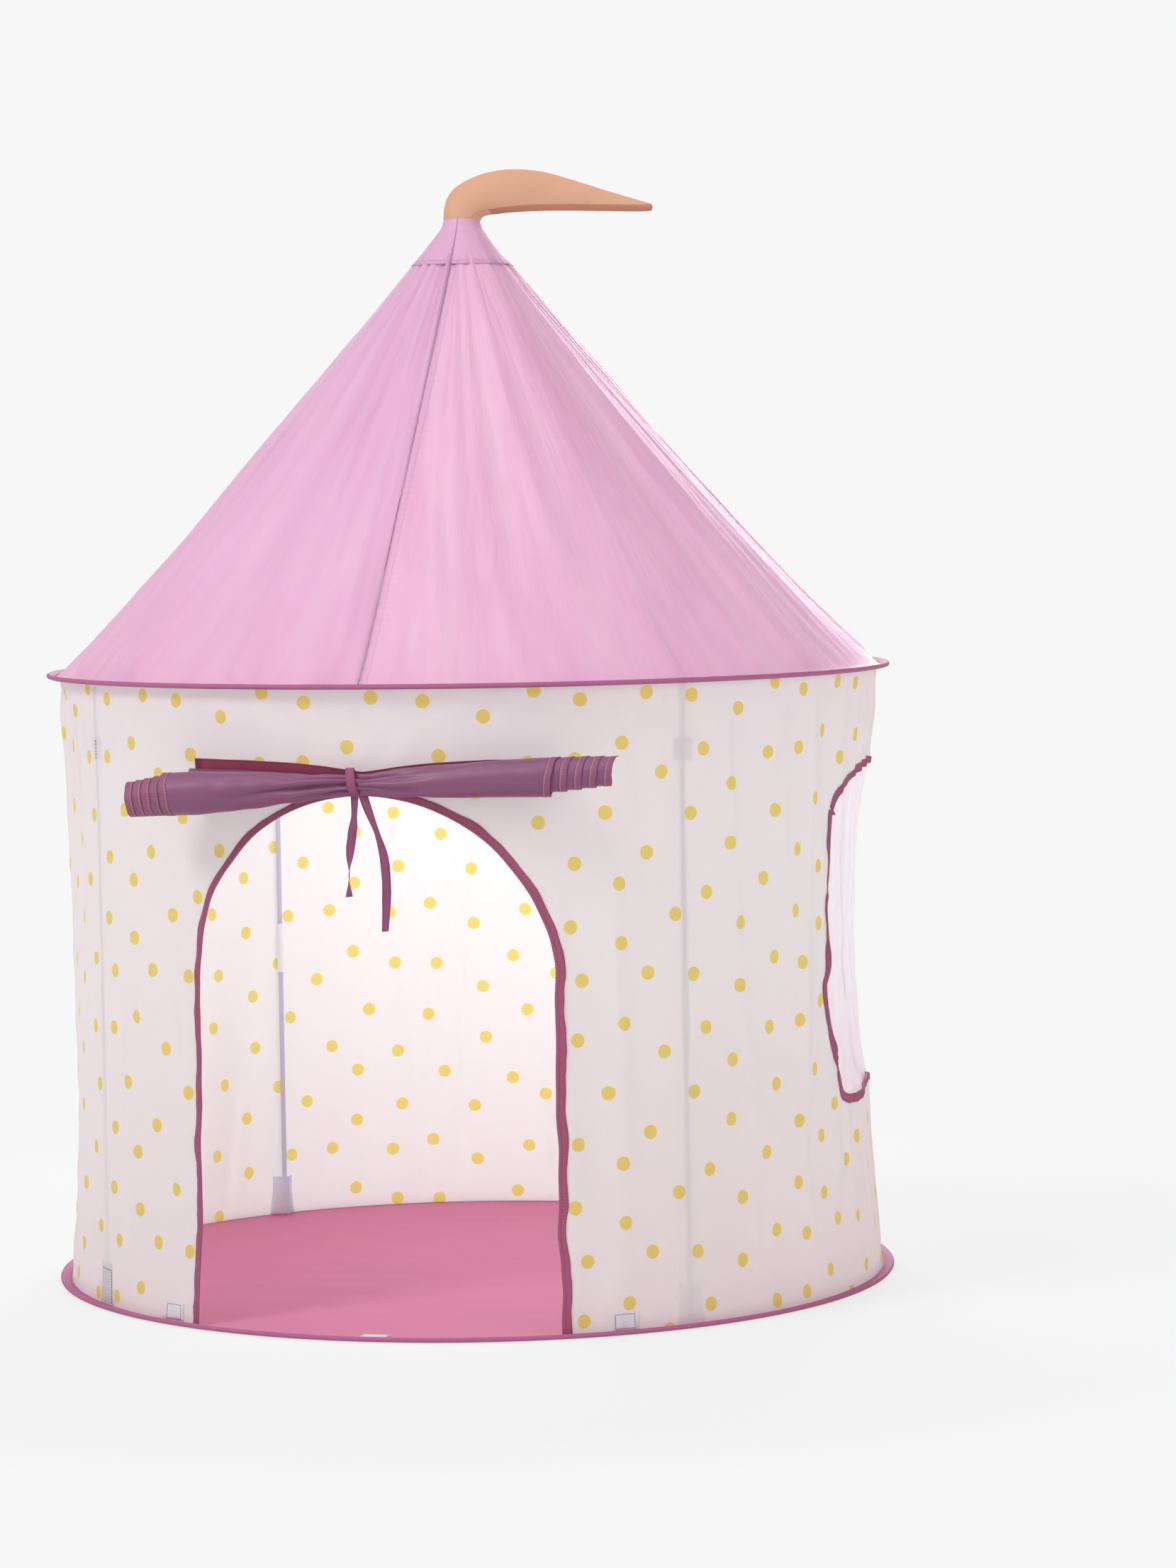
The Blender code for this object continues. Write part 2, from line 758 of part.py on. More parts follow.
def flap_half(side):
    """The cloth from under the header down to the roll, on one side of the tie."""
    reach = wall_end_radius * sin(radians(header_half_turn)) - cloth_gap
    span = reach - flap_notch
    columns = [side * (flap_notch + span * step / flap_steps) for step in range(flap_steps + 1)]
    if side < 0:
        columns.reverse()
    top_height = header_foot - flap_top_gap

    def place(x, row):
        height = roll_centre_z + x * sin(radians(roll_tilt))
        inwards = roll_pinch_radius * flap_depth_share
        grip = Vector((x, roll_axis_y + inwards, height + roll_pinch_radius * flap_grip_share))
        middle = wall_radius(0.0, top_height) + cloth_gap + cloth_thickness
        radius = wall_radius(degrees(asin(x / middle)), top_height) + cloth_gap + cloth_thickness
        top = Vector((x, -sqrt(radius ** 2 - x ** 2), top_height))
        return grip.lerp(top, row)

    mesh = sheet_mesh("flap", columns, (0.0, 0.5, 1.0), place)
    thing = add_cutter("flap", mesh)
    thicken(thing, cloth_thickness)
    solid = settled_mesh(thing)
    bpy.data.objects.remove(thing, do_unlink=True)
    return solid


def swing_empty(name, place):
    """An empty on a joint's axis, to carry the pieces that turn about it."""
    hinge = bpy.data.objects.new(name, None)
    hinge.location = place
    parts.objects.link(hinge)
    return hinge


def hang(part, hinge):
    """Parent a piece to the empty on its joint, without moving it."""
    bpy.context.view_layer.update()
    part.parent = hinge
    part.matrix_parent_inverse = hinge.matrix_world.inverted()


def build_roll(hinge):
    profile = list(reversed([(radius, along) for radius, along in roll_profile()]))
    mesh = turned_mesh("door_roll", profile, roll_sides, closed=False)
    mesh.transform(roll_frame())
    roll = add_part("door_roll", mesh, "door_polyester", 50.0)
    for side, name in ((-1, "flap_left"), (1, "flap_right")):
        combine(roll, add_cutter(name, flap_half(side)), "UNION")
    hang(roll, hinge)


def tie_outline(radius, rise):
    """A loop round the roll, round below and drawn up over the header tape above."""
    points = []
    for step in range(tie_steps):
        turn = 2 * pi * step / tie_steps
        upward = rise if sin(turn) > 0 else radius
        points.append((radius * cos(turn), upward * sin(turn)))
    return points


def build_tie(hinge):
    inside = roll_pinch_radius + tie_clearance
    outline = tie_outline(inside + tape_thickness, tie_rise + tape_thickness)
    hole = tie_outline(inside, tie_rise)
    across = Matrix.Rotation(pi / 2, 4, "Z") @ Matrix.Rotation(pi / 2, 4, "X")
    frame = Matrix.Translation((0.0, roll_axis_y, roll_centre_z)) @ across
    loop = add_part("tie_loop", flat_prism("tie_loop", [outline, hole], tie_width, frame), "edge_binding")
    hang(loop, hinge)


def tail_outline(length, lean, bow):
    """A ribbon seen face on, from its top at the origin, leaning and bowed sideways."""
    left = []
    right = []
    for step in range(tail_steps + 1):
        share = step / tail_steps
        middle = lean * share + bow * sin(pi * share)
        left.append((middle - tail_width / 2, -length * share))
        right.append((middle + tail_width / 2, -length * share))
    return left + list(reversed(right))


def build_tails():
    top = roll_centre_z - roll_pinch_radius - tie_clearance - tape_thickness - cloth_gap
    tails = (
        ("short_tie_tail", short_tail_x, short_tail_length, short_tail_lean, short_tail_bow),
        ("long_tie_tail", long_tail_x, long_tail_length, long_tail_lean, long_tail_bow),
    )
    for name, x, length, lean, bow in tails:
        hinge = swing_empty(name + "_hinge", (x, roll_axis_y, top))
        outline = tail_outline(length, lean, bow)
        mesh = flat_prism(name, [outline], tail_thickness, Matrix.Rotation(pi / 2, 4, "X"))
        tail = add_part(name, mesh, "edge_binding")
        tail.parent = hinge


# Roof


def roof_panel(name, columns, edge_x):
    rows = [("hem", 0.0)]
    low_share = 1.0 - cap_depth / roof_rise
    rows.extend(("slope", share) for share in (0.0,) + roof_row_shares + (low_share, panel_top_share))
    hem_edge = eave_wire_radius - wire_radius - seam_margin

    def place(bearing, row):
        kind, share = row
        radius = hem_edge if kind == "hem" else roof_radius(bearing, share)
        spot = at_bearing(bearing, radius, roof_height(share))
        if bearing in (columns[0], columns[-1]):
            spot.x = edge_x
        return spot

    panel = add_part(name, sheet_mesh(name, columns, rows, place), "roof_polyester")
    thicken(panel, cloth_thickness)


def panel_columns(start, end):
    inside = [c + turn for turn in (-360.0, 0.0) for c in bay_columns(roof_steps_per_bay)]
    return [start] + [c for c in sorted(inside) if start + 1.0 < c < end - 1.0] + [end]


def build_roof():
    roof_panel("right_roof_panel", panel_columns(0.0, 180.0), panel_gap / 2)
    roof_panel("left_roof_panel", panel_columns(-180.0, 0.0), -panel_gap / 2)
    columns = bay_columns(roof_steps_per_bay)
    low_share = 1.0 - cap_depth / roof_rise
    rows = [("slope", low_share), ("slope", panel_top_share), ("slope", 1.0)]
    rows.append(("ring", tip_round_radius, tip_round_height))
    rows.append(("ring", 0.0, roof_tip_height))

    def place(bearing, row):
        if row[0] == "slope":
            return at_bearing(bearing, roof_radius(bearing, row[1], cap_offset), roof_height(row[1]))
        return at_bearing(bearing, row[1], row[2])

    cap = add_part("roof_cap", sheet_mesh("roof_cap", columns, rows, place, closed=True), "roof_polyester")
    thicken(cap, cloth_thickness)


# Poles


def roof_line_start():
    """Where a roof pole's middle line crosses the wall poles' circle, and its direction upwards."""
    inward = -roof_run / roof_length
    upward = roof_rise / roof_length
    start_radius = roof_foot_radius - roof_pole_depth * upward
    start_height = roof_foot_height + roof_pole_depth * inward
    along = (start_radius - pole_circle_radius) / -inward
    return start_height + along * upward, inward, upward


def pole_point(bearing, along):
    """A point on a pole's middle line; 0 is the bend at the eave, negative is down the wall."""
    bend_height, inward, upward = roof_line_start()
    if along <= 0:
        return at_bearing(bearing, pole_circle_radius, bend_height + along)
    return at_bearing(bearing, pole_circle_radius + inward * along, bend_height + upward * along)


def sleeve_mesh(name, start, end, outer_radius):
    """A short open tube between two points, bored to take a pole."""
    length = (end - start).length
    profile = [
        (outer_radius, length / 2),
        (outer_radius, -length / 2),
        (bore_radius, -length / 2),
        (bore_radius, length / 2),
    ]
    mesh = turned_mesh(name, profile, tube_sides)
    turn = (end - start).to_track_quat("Z", "Y").to_matrix().to_4x4()
    mesh.transform(Matrix.Translation((start + end) / 2) @ turn)
    return mesh


def build_elbow(name, bearing):
    points = [pole_point(bearing, -elbow_leg)]
    for step in range(elbow_arc_steps + 1):
        share = step / elbow_arc_steps
        low = pole_point(bearing, -elbow_bend * (1 - share))
        high = pole_point(bearing, elbow_bend * share)
        points.append(low.lerp(high, share))
    points.append(pole_point(bearing, elbow_leg))
    outside = rod_mesh(name, points, socket_radius)
    first = points[0] + (points[0] - points[1]).normalized() * overrun
    last = points[-1] + (points[-1] - points[-2]).normalized() * overrun
    bore = rod_mesh(name + "_bore", [first] + points[1:-1] + [last], bore_radius)
    elbow = add_part(name, outside, "ferrule_plastic")
    combine(elbow, add_cutter(name + "_bore", bore), "DIFFERENCE")


def hub_reach_along():
    """How far along the roof pole line the hub's sockets end."""
    inward = roof_run / roof_length
    return (pole_circle_radius - hub_reach) / inward


def build_pole(side, bearing):
    bend_height, inward, upward = roof_line_start()
    wall_middle = wall_ferrule_height - bend_height
    roof_middle = (roof_ferrule_height - bend_height) / upward
    mouth = elbow_leg - elbow_grip
    hub_end = hub_reach_along() - hub_socket_length + hub_socket_grip - pole_end_gap
    runs = (
        ("lower_wall_pole", pole_foot_height - bend_height, wall_middle - pole_end_gap),
        ("upper_wall_pole", wall_middle + pole_end_gap, -mouth),
        ("lower_roof_pole", mouth, roof_middle - pole_end_gap),
        ("upper_roof_pole", roof_middle + pole_end_gap, hub_end),
    )
    for kind, low, high in runs:
        name = side + "_" + kind
        points = [pole_point(bearing, low), pole_point(bearing, high)]
        add_part(name, rod_mesh(name, points, pole_radius), "pole_glassfibre")
    for kind, middle in (("wall_ferrule", wall_middle), ("roof_ferrule", roof_middle)):
        name = side + "_" + kind
        start = pole_point(bearing, middle - ferrule_length / 2)
        end = pole_point(bearing, middle + ferrule_length / 2)
        add_part(name, sleeve_mesh(name, start, end, ferrule_radius), "ferrule_plastic")
    build_elbow(side + "_eave_elbow", bearing)


def build_hub():
    """The moulding at the peak: a short cone with a bored socket for each roof pole."""
    end_along = hub_reach_along()
    bm = bmesh.new()
    bmesh.ops.create_cone(
        bm,
        cap_ends=True,
        segments=tube_sides,
        radius1=hub_foot_radius,
        radius2=hub_top_radius,
        depth=hub_depth,
        matrix=Matrix.Translation((0.0, 0.0, hub_middle_height)),
    )
    hub = add_part("apex_hub", mesh_from(bm, "apex_hub"), "ferrule_plastic")
    for side, bearing in pole_bearings.items():
        start = pole_point(bearing, end_along - hub_socket_length)
        end = pole_point(bearing, end_along)
        socket = rod_mesh(side + "_socket", [start, end], socket_radius, 3)
        combine(hub, add_cutter(side + "_socket", socket), "UNION")
    for side, bearing in pole_bearings.items():
        start = pole_point(bearing, end_along - hub_socket_length - overrun)
        end = pole_point(bearing, end_along - hub_socket_length + hub_socket_grip)
        bore = rod_mesh(side + "_socket_bore", [start, end], bore_radius, 2)
        combine(hub, add_cutter(side + "_socket_bore", bore), "DIFFERENCE")


def sleeve_outline(width, back):
    """A sewn sleeve in plan: flat against the wall, swelling round the pole."""
    swell = bore_radius + pocket_wall
    points = [(-width / 2, -back), (width / 2, -back), (width / 2, -back + pocket_lip)]
    for step in range(sleeve_arc_steps + 1):
        turn = pi * step / sleeve_arc_steps
        points.append((swell * cos(turn), swell * sin(turn)))
    points.append((-width / 2, -back + pocket_lip))
    return points


def build_sleeve(name, bearing, foot, height, width, wall_gap_height, closed_foot):
    """A cloth pocket or loop sewn to the inside of the wall round a pole."""
    facet = widest_facet()
    ridge = wall_radius(bearing, wall_gap_height) - cloth_thickness
    beside = wall_radius(bearing + facet, wall_gap_height) - cloth_thickness
    slope = (ridge - beside * cos(radians(facet))) / (beside * sin(radians(facet)))
    back = ridge - slope * width / 2 - 2 * cloth_gap - pole_circle_radius
    outline = sleeve_outline(width, back)
    upright = Matrix.Rotation(radians(bearing), 4, "Z")
    place = Matrix.Translation(at_bearing(bearing, pole_circle_radius, foot + height / 2))
    body = flat_prism(name, [outline], height, place @ upright)
    sleeve = add_part(name, body, "pocket_cloth")
    low = foot + closed_foot if closed_foot > 0 else foot - overrun
    points = [at_bearing(bearing, pole_circle_radius, low)]
    points.append(at_bearing(bearing, pole_circle_radius, foot + height + overrun))
    bore = rod_mesh(name + "_bore", points, bore_radius, 2)
    combine(sleeve, add_cutter(name + "_bore", bore), "DIFFERENCE")


def build_sleeves(side, bearing):
    foot = upper_layer + cloth_thickness + pocket_floor_gap
    top = foot + pocket_height
    build_sleeve(side + "_foot_pocket", bearing, foot, pocket_height, pocket_width, top, pocket_base)
    low = eave_height - loop_eave_gap - loop_height / 2
    build_sleeve(side + "_pole_loop", bearing, low, loop_height, loop_width, low, 0.0)


# Pennant


def build_pennant():
    """A horn-shaped flag, round at its open foot over the roof's tip and flat towards its point."""
    bm = bmesh.new()
    rings = []
    for left_x, left_z, right_x, right_z, depth in pennant_section_shares:
        left = Vector((left_x * pennant_length, 0.0, pennant_hem_height + left_z * pennant_height))
        right = Vector((right_x * pennant_length, 0.0, pennant_hem_height + right_z * pennant_height))
        middle = (left + right) / 2
        half = (right - left) / 2
        ring = []
        for step in range(pennant_sides):
            turn = 2 * pi * step / pennant_sides
            spot = middle + half * cos(turn)
            spot.y = depth * pennant_half_depth * sin(turn)
            ring.append(bm.verts.new(spot))
        rings.append(ring)
    for lower, upper in zip(rings, rings[1:]):
        for step in range(pennant_sides):
            after = (step + 1) % pennant_sides
            bm.faces.new((lower[step], lower[after], upper[after], upper[step]))
    bm.faces.new(rings[0])
    bm.faces.new(rings[-1])
    pennant = add_part("pennant", mesh_from(bm, "pennant"), "pennant_cloth", 60.0)
    hang(pennant, swing_empty("pennant_swivel", (0.0, 0.0, pennant_hem_height)))
    slope = roof_run / roof_rise
    spread = cap_offset * roof_length / roof_rise + pennant_clearance
    low = pennant_hem_height - pennant_socket_depth
    low_radius = roof_top_radius + (roof_top_height - low) * slope + spread
    top = roof_tip_height + pennant_clearance
    top_radius = roof_top_radius - (top - roof_top_height) * slope + spread
    profile = [(0.0, top), (top_radius, top), (low_radius, low), (0.0, low)]
    socket = turned_mesh("pennant_socket", profile, tube_sides, closed=False)
    combine(pennant, add_cutter("pennant_socket", socket), "DIFFERENCE")


clear_scene()
parts = make_collection("play_tent")
cutters = make_collection("cutters")
build_ring("base", base_brim_inner, base_wire_radius, 0.0)
build_ring("eave", eave_brim_inner, eave_wire_radius, eave_height)
build_floor()
build_wall()
build_door_edge()
build_window()
build_header()
build_pads()
door_hinge_radius = wall_radius(0.0, header_top) + cloth_gap + tape_thickness
door_hinge = swing_empty("door_hinge", (0.0, -door_hinge_radius, header_top))
build_roll(door_hinge)
build_tie(door_hinge)
build_tails()
build_roof()
for pole_side, pole_bearing in pole_bearings.items():
    build_pole(pole_side, pole_bearing)
    build_sleeves(pole_side, pole_bearing)
build_hub()
build_pennant()
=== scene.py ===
import math

import bmesh
import bpy
import numpy as np
from mathutils import Matrix, Vector, noise


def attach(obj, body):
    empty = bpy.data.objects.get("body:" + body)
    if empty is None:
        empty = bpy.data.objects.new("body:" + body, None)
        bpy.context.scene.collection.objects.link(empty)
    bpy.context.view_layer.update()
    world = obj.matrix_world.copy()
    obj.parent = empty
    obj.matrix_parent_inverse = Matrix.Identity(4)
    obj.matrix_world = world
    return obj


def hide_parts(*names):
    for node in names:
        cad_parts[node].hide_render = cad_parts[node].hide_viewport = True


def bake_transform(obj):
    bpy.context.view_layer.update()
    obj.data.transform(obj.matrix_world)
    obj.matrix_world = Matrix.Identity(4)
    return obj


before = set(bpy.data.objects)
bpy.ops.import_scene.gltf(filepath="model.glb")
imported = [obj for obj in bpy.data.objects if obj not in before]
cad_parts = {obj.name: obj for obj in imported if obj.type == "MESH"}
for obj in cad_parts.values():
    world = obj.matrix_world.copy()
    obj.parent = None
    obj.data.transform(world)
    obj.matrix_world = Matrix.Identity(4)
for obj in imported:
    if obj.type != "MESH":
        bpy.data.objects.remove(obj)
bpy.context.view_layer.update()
print("tent: packed model loaded, nodes:", len(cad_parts))

# The tent's own form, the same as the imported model's: metres, and bearings in degrees from the door
tent = {
    "poles": {"front_left": -47.5, "front_right": 43.5, "back_right": 135.0, "back_left": 225.8},
    "poleCircle": 0.475,
    "wallEnd": 0.4835,
    "wallFoot": 0.0024,
    "wallTop": 0.7149,
    "ridgeDraw": 0.003,
    "baySag": 0.0105,
    "footFlare": 0.20,
    "eaveFlare": 0.185,
    "windowBearing": 97.0,
    "windowSag": (0.007, 18.0, 0.3595, 0.16),
    "roofFoot": (0.487, 0.7164),
    "roofTop": (0.022, 1.240),
    "roofSag": 0.014,
    "baseRing": 0.498,
    "eaveRing": 0.4995,
    "eaveHeight": 0.714,
}


def atBearing(bearing, radius, height):
    turn = math.radians(bearing)
    return Vector((radius * math.sin(turn), -radius * math.cos(turn), height))


def bayShare(bearing):
    stops = list(tent["poles"].values())
    turned = (bearing - stops[0]) % 360.0 + stops[0]
    for start, end in zip(stops, stops[1:] + [stops[0] + 360.0]):
        if start <= turned <= end:
            return (turned - start) / (end - start)
    return 0.0


def turnTo(bearing, other):
    return (bearing - other + 180.0) % 360.0 - 180.0


def ease(share):
    share = min(1.0, max(0.0, share))
    return share * share * (3.0 - 2.0 * share)


def along(table, place):
    # a value read off a short table of (place, value) pairs, eased from one to the next
    if place <= table[0][0]:
        return table[0][1]
    for (low, first), (high, second) in zip(table, table[1:]):
        if place <= high:
            return first + (second - first) * ease((place - low) / (high - low))
    return table[-1][1]


def ripple(x, y, z=0.0):
    return noise.noise(Vector((x, y, z)))


def wallRadius(bearing, height):
    foot = max(0.0, 1.0 - (height - tent["wallFoot"]) / tent["footFlare"])
    eave = max(0.0, 1.0 - (tent["wallTop"] - height) / tent["eaveFlare"])
    drawn = tent["ridgeDraw"] + tent["baySag"] * math.sin(math.pi * bayShare(bearing))
    slack, spread, middle, tall = tent["windowSag"]
    across = turnTo(bearing, tent["windowBearing"]) / spread
    up = (height - middle) / tall
    waist = max(0.0, 1.0 - foot ** 2 - eave ** 2)
    return tent["wallEnd"] - waist * (drawn + slack * 2.0 ** -(across ** 2 + up ** 2))


def roofRadius(bearing, share):
    foot, top = tent["roofFoot"][0], tent["roofTop"][0]
    slack = tent["roofSag"] * math.sqrt(max(0.0, math.sin(math.pi * share)))
    return foot - (foot - top) * share - slack * math.sin(math.pi * bayShare(bearing))


def roofHeight(share):
    return tent["roofFoot"][1] + (tent["roofTop"][1] - tent["roofFoot"][1]) * share


def toPole(bearing):
    # degrees from a bearing to the nearest pole
    return min(abs(turnTo(bearing, pole)) for pole in tent["poles"].values())


def creaseDepth(place, creases):
    # each crease: start, end, half width, depth; it starts sharply and fades towards its end
    total = 0.0
    for start, end, width, depth in creases:
        runX, runY = end[0] - start[0], end[1] - start[1]
        length = math.hypot(runX, runY)
        offX, offY = place[0] - start[0], place[1] - start[1]
        share = (offX * runX + offY * runY) / length ** 2
        if -0.05 < share < 1.0:
            aside = abs(offX * runY - offY * runX) / length
            if aside < 3.0 * width:
                fade = ease((share + 0.05) / 0.15) * (1.0 - ease(share))
                total += depth * fade * math.exp(-(aside / width) ** 2)
    return total


# Shader sums: one class wraps a socket, so that finishes are written as plain expressions
class Wire:
    def __init__(self, tree, socket=None):
        self.tree = tree
        self.socket = socket

    def node(self, kind, settings=None, sockets=None, out=0):
        made = self.tree.nodes.new(kind)
        for key, value in (settings or {}).items():
            setattr(made, key, value)
        for key, value in (sockets or {}).items():
            if isinstance(value, Wire):
                self.tree.links.new(value.socket, made.inputs[key])
            else:
                made.inputs[key].default_value = value
        return Wire(self.tree, made.outputs[out] if made.outputs else None)

    def pick(self, name):
        return Wire(self.tree, self.socket.node.outputs[name])

    def maths(self, operation, first, second=0.0, clamp=False):
        settings = {"operation": operation, "use_clamp": clamp}
        return self.node("ShaderNodeMath", settings, {0: first, 1: second})

    def __add__(self, other):
        return self.maths("ADD", self, other)

    __radd__ = __add__

    def __sub__(self, other):
        return self.maths("SUBTRACT", self, other)

    def __rsub__(self, other):
        return self.maths("SUBTRACT", other, self)

    def __mul__(self, other):
        return self.maths("MULTIPLY", self, other)

    __rmul__ = __mul__

    def __truediv__(self, other):
        return self.maths("DIVIDE", self, other)

    def sine(self):
        return self.maths("SINE", self)

    def size(self):
        return self.maths("ABSOLUTE", self)

    def least(self, other):
        return self.maths("MINIMUM", self, other)

    def most(self, other):
        return self.maths("MAXIMUM", self, other)

    def fraction(self):
        return self.maths("FRACT", self)

    def below(self, limit, soft):
        # 1 where the value is under the limit, with a soft edge
        return self.maths("ADD", (limit - self) / soft, 0.5, clamp=True)

    def tint(self, first, second):
        # this value as the share of the second colour
        paints = {0: self}
        for key, paint in ((6, first), (7, second)):
            paints[key] = paint if isinstance(paint, Wire) else (*paint, 1.0)
        return self.node("ShaderNodeMix", {"data_type": "RGBA"}, paints, out=2)

    def mottle(self, scale, detail=2.0, roughness=0.5, stretch=(1.0, 1.0, 1.0)):
        # cloudy noise on this vector, from about 0 to 1
        spread = self.node("ShaderNodeVectorMath", {"operation": "MULTIPLY"}, {0: self, 1: stretch})
        sockets = {"Vector": spread, "Scale": scale, "Detail": detail, "Roughness": roughness}
        return self.node("ShaderNodeTexNoise", None, sockets)


finishes = {}


def startFinish(name):
    material = bpy.data.materials.new(name)
    material.use_nodes = True
    tree = material.node_tree
    tree.nodes.clear()
    finishes[name] = material
    return Wire(tree)


def glowing(start, colour):
    # the part of a cloth's look that light from behind makes
    return start.node("ShaderNodeBsdfTranslucent", None, {"Color": (*colour, 1.0)})


def closeFinish(start, skin, colour, height):
    # skin: roughness, then any of shine, sheen, metallic, lightThrough with throughColour or through
    relief = {"Strength": 0.6, "Distance": 1.0, "Height": height}
    sockets = {"Base Color": colour, "Normal": start.node("ShaderNodeBump", None, relief)}
    for key, slot in (("roughness", "Roughness"), ("metallic", "Metallic"), ("shine", "Specular IOR Level"),
                      ("sheen", "Sheen Weight")):
        if key in skin:
            sockets[slot] = skin[key]
    surface = start.node("ShaderNodeBsdfPrincipled", None, sockets)
    if "lightThrough" in skin:
        through = skin.get("through")
        if through is None:
            through = glowing(start, skin["throughColour"])
        surface = start.node("ShaderNodeMixShader", None, {0: skin["lightThrough"], 1: surface, 2: through})
    start.node("ShaderNodeOutputMaterial", None, {"Surface": surface})


def weaveOf(across, up, pitch):
    # the small checker of over and under in a plain weave
    turn = 2.0 * math.pi / pitch
    return (across * turn).sine() * (up * turn).sine()


def surfacePoints(start):
    # the piece's own metres, in its UV map, and the whole tent's metres
    cloth = start.node("ShaderNodeUVMap", {"uv_map": "UVMap"})
    flat = start.node("ShaderNodeSeparateXYZ", None, {"Vector": cloth})
    room = start.node("ShaderNodeTexCoord", out=3)
    return cloth, flat, flat.pick("Y"), room


def stitchRow(along, across, line, pitch=0.0034, thread=0.0006):
    # a row of machine stitches at one distance across a tape
    inLine = (across - line).size().below(thread, 0.0004)
    dash = ((along / pitch).fraction() - 0.5).size().below(0.34, 0.1)
    return inLine * dash


# Printed wall cloth: pale polyester with a scattered dot, whose middles are shares of the repeat
wallPrint = {
    "repeat": (0.3087, 0.3088),
    "dotRadius": 0.0079,
    "edge": 0.0006,
    "dotWaver": (0.0012, 0.001),
    "inkCover": 0.96,
    "inkThin": 0.3,
    "cloth": (0.965, 0.845, 0.83),
    "clothCool": (0.90, 0.85, 0.90),
    "dot": (0.85, 0.68, 0.20),
    "through": (0.93, 0.955, 0.94),
    "dotThrough": (0.93, 0.88, 0.46),
    "fibre": (0.74, 0.68, 0.70),
    "fibreShare": 0.10,
    "crumples": ((34.0, 3.0, 0.0011), (120.0, 2.0, 0.00022)),
    "weave": 0.0011,
    "weaveDepth": 0.00003,
    "skin": {"roughness": 0.6, "shine": 0.35, "lightThrough": 0.52},
    "dotShares": (
        (0.448, 0.249), (0.670, 0.420), (0.793, 0.570), (0.987, 0.663), (0.152, 0.588), (0.971, 0.438),
        (0.843, 0.280), (0.662, 0.192), (0.500, 0.054), (0.628, 0.925), (0.445, 0.826), (0.620, 0.710),
        (0.510, 0.539), (0.856, 0.813), (0.819, 0.026), (0.992, 0.034), (0.165, 0.088), (0.010, 0.246),
        (0.157, 0.376), (0.374, 0.469), (0.262, 0.264), (0.322, 0.979), (0.102, 0.842), (0.262, 0.694),
    ),
}


def dotMask(start, cloth, room):
    wander = room.mottle(90.0, 1.0)
    sideways, upwards = wallPrint["dotWaver"]
    shift = {"X": (wander - 0.5) * sideways, "Y": (0.5 - wander) * upwards}
    nudge = start.node("ShaderNodeCombineXYZ", None, shift)
    spot = start.node("ShaderNodeVectorMath", {"operation": "ADD"}, {0: cloth, 1: nudge})
    wide, tall = wallPrint["repeat"]
    shares = start.node("ShaderNodeVectorMath", {"operation": "DIVIDE"}, {0: spot, 1: (wide, tall, 1.0)})
    nearest = None
    for x, y in wallPrint["dotShares"]:
        off = start.node("ShaderNodeVectorMath", {"operation": "SUBTRACT"}, {0: shares, 1: (x, y, 0.0)})
        wrapped = start.node("ShaderNodeVectorMath", {"operation": "WRAP"},
                             {0: off, 1: (0.5, 0.5, 0.5), 2: (-0.5, -0.5, -0.5)})
        away = start.node("ShaderNodeVectorMath", {"operation": "LENGTH"}, {0: wrapped}, out=1)
        nearest = away if nearest is None else nearest.least(away)
    return nearest.below(wallPrint["dotRadius"] / wide, wallPrint["edge"] / wide)


def makeWallFinish():
    start = startFinish("wallPolyester")
    cloth, across, up, room = surfacePoints(start)
    dots = dotMask(start, cloth, room)
    cloudy = room.mottle(3.5, 2.0)
    ground = cloudy.tint(wallPrint["clothCool"], wallPrint["cloth"])
    fibres = room.mottle(420.0, 2.0, 0.6, (1.0, 1.0, 0.35))
    ground = (fibres * wallPrint["fibreShare"]).tint(ground, wallPrint["fibre"])
    inked = (fibres - 0.5) * wallPrint["inkThin"] + dots * wallPrint["inkCover"]
    printed = inked.tint(ground, wallPrint["dot"])
    (scale, detail, depth), (fineScale, fineDetail, fineDepth) = wallPrint["crumples"]
    height = room.mottle(scale, detail, 0.55) * depth + room.mottle(fineScale, fineDetail) * fineDepth
    height = height + weaveOf(across, up, wallPrint["weave"]) * wallPrint["weaveDepth"]
    lights = {0: dots, 1: glowing(start, wallPrint["through"]), 2: glowing(start, wallPrint["dotThrough"])}
    through = start.node("ShaderNodeMixShader", None, lights)
    closeFinish(start, {**wallPrint["skin"], "through": through}, printed, height)


def makeClothFinish(name, look):
    # a plain woven cloth with soft crumples, and where asked its marks, such as a seam's stitches and the
    # painted shade of its lap
    start = startFinish(name)
    across, up, room = surfacePoints(start)[1:]
    cloudy = room.mottle(5.0, 3.0)
    fibres = room.mottle(380.0, 2.0, 0.6, (1.0, 1.0, 0.4))
    colour = cloudy.tint(look["cool"], look["colour"])
    colour = (fibres * look.get("fibreShare", 0.2)).tint(colour, look["shade"])
    height = room.mottle(look.get("crumpleScale", 40.0), 3.0, 0.55) * look["crumple"]
    height = height + weaveOf(across, up, 0.0010) * 0.00003
    if "marks" in look:
        colour, height = look["marks"](start, across, up, room, colour, height)
    closeFinish(start, look, colour, height)


# The roof's two long seams: a lap of two layers on one side, painted darker as the shade it casts through the
# cloth, a thin dark line painted as the shadow at its edge, puckers on both, and a row of stitches; and
# streaks down the slope, painted as sheen highlights and shade
roofSeam = {
    "panelGirth": 1.530,
    "panelTaper": 2.086,
    "lapWidth": 0.0095,
    "lapPaintedShade": (0.58, 0.34, 0.60),
    "lineWidth": 0.0010,
    "seamLinePaintedShadow": (0.27, 0.08, 0.18),
    "stitchLine": 0.0078,
    "stitchPitch": 0.0042,
    "threadColour": (0.45, 0.18, 0.36),
    "puckerReach": 0.012,
    "puckerPitch": 0.0085,
    "puckerDepth": 0.0005,
    "paintedStreakShade": (0.82, 0.42, 0.64),
    "paintedSheenStreak": (0.98, 0.74, 0.88),
    "streakDepth": 0.0030,
}


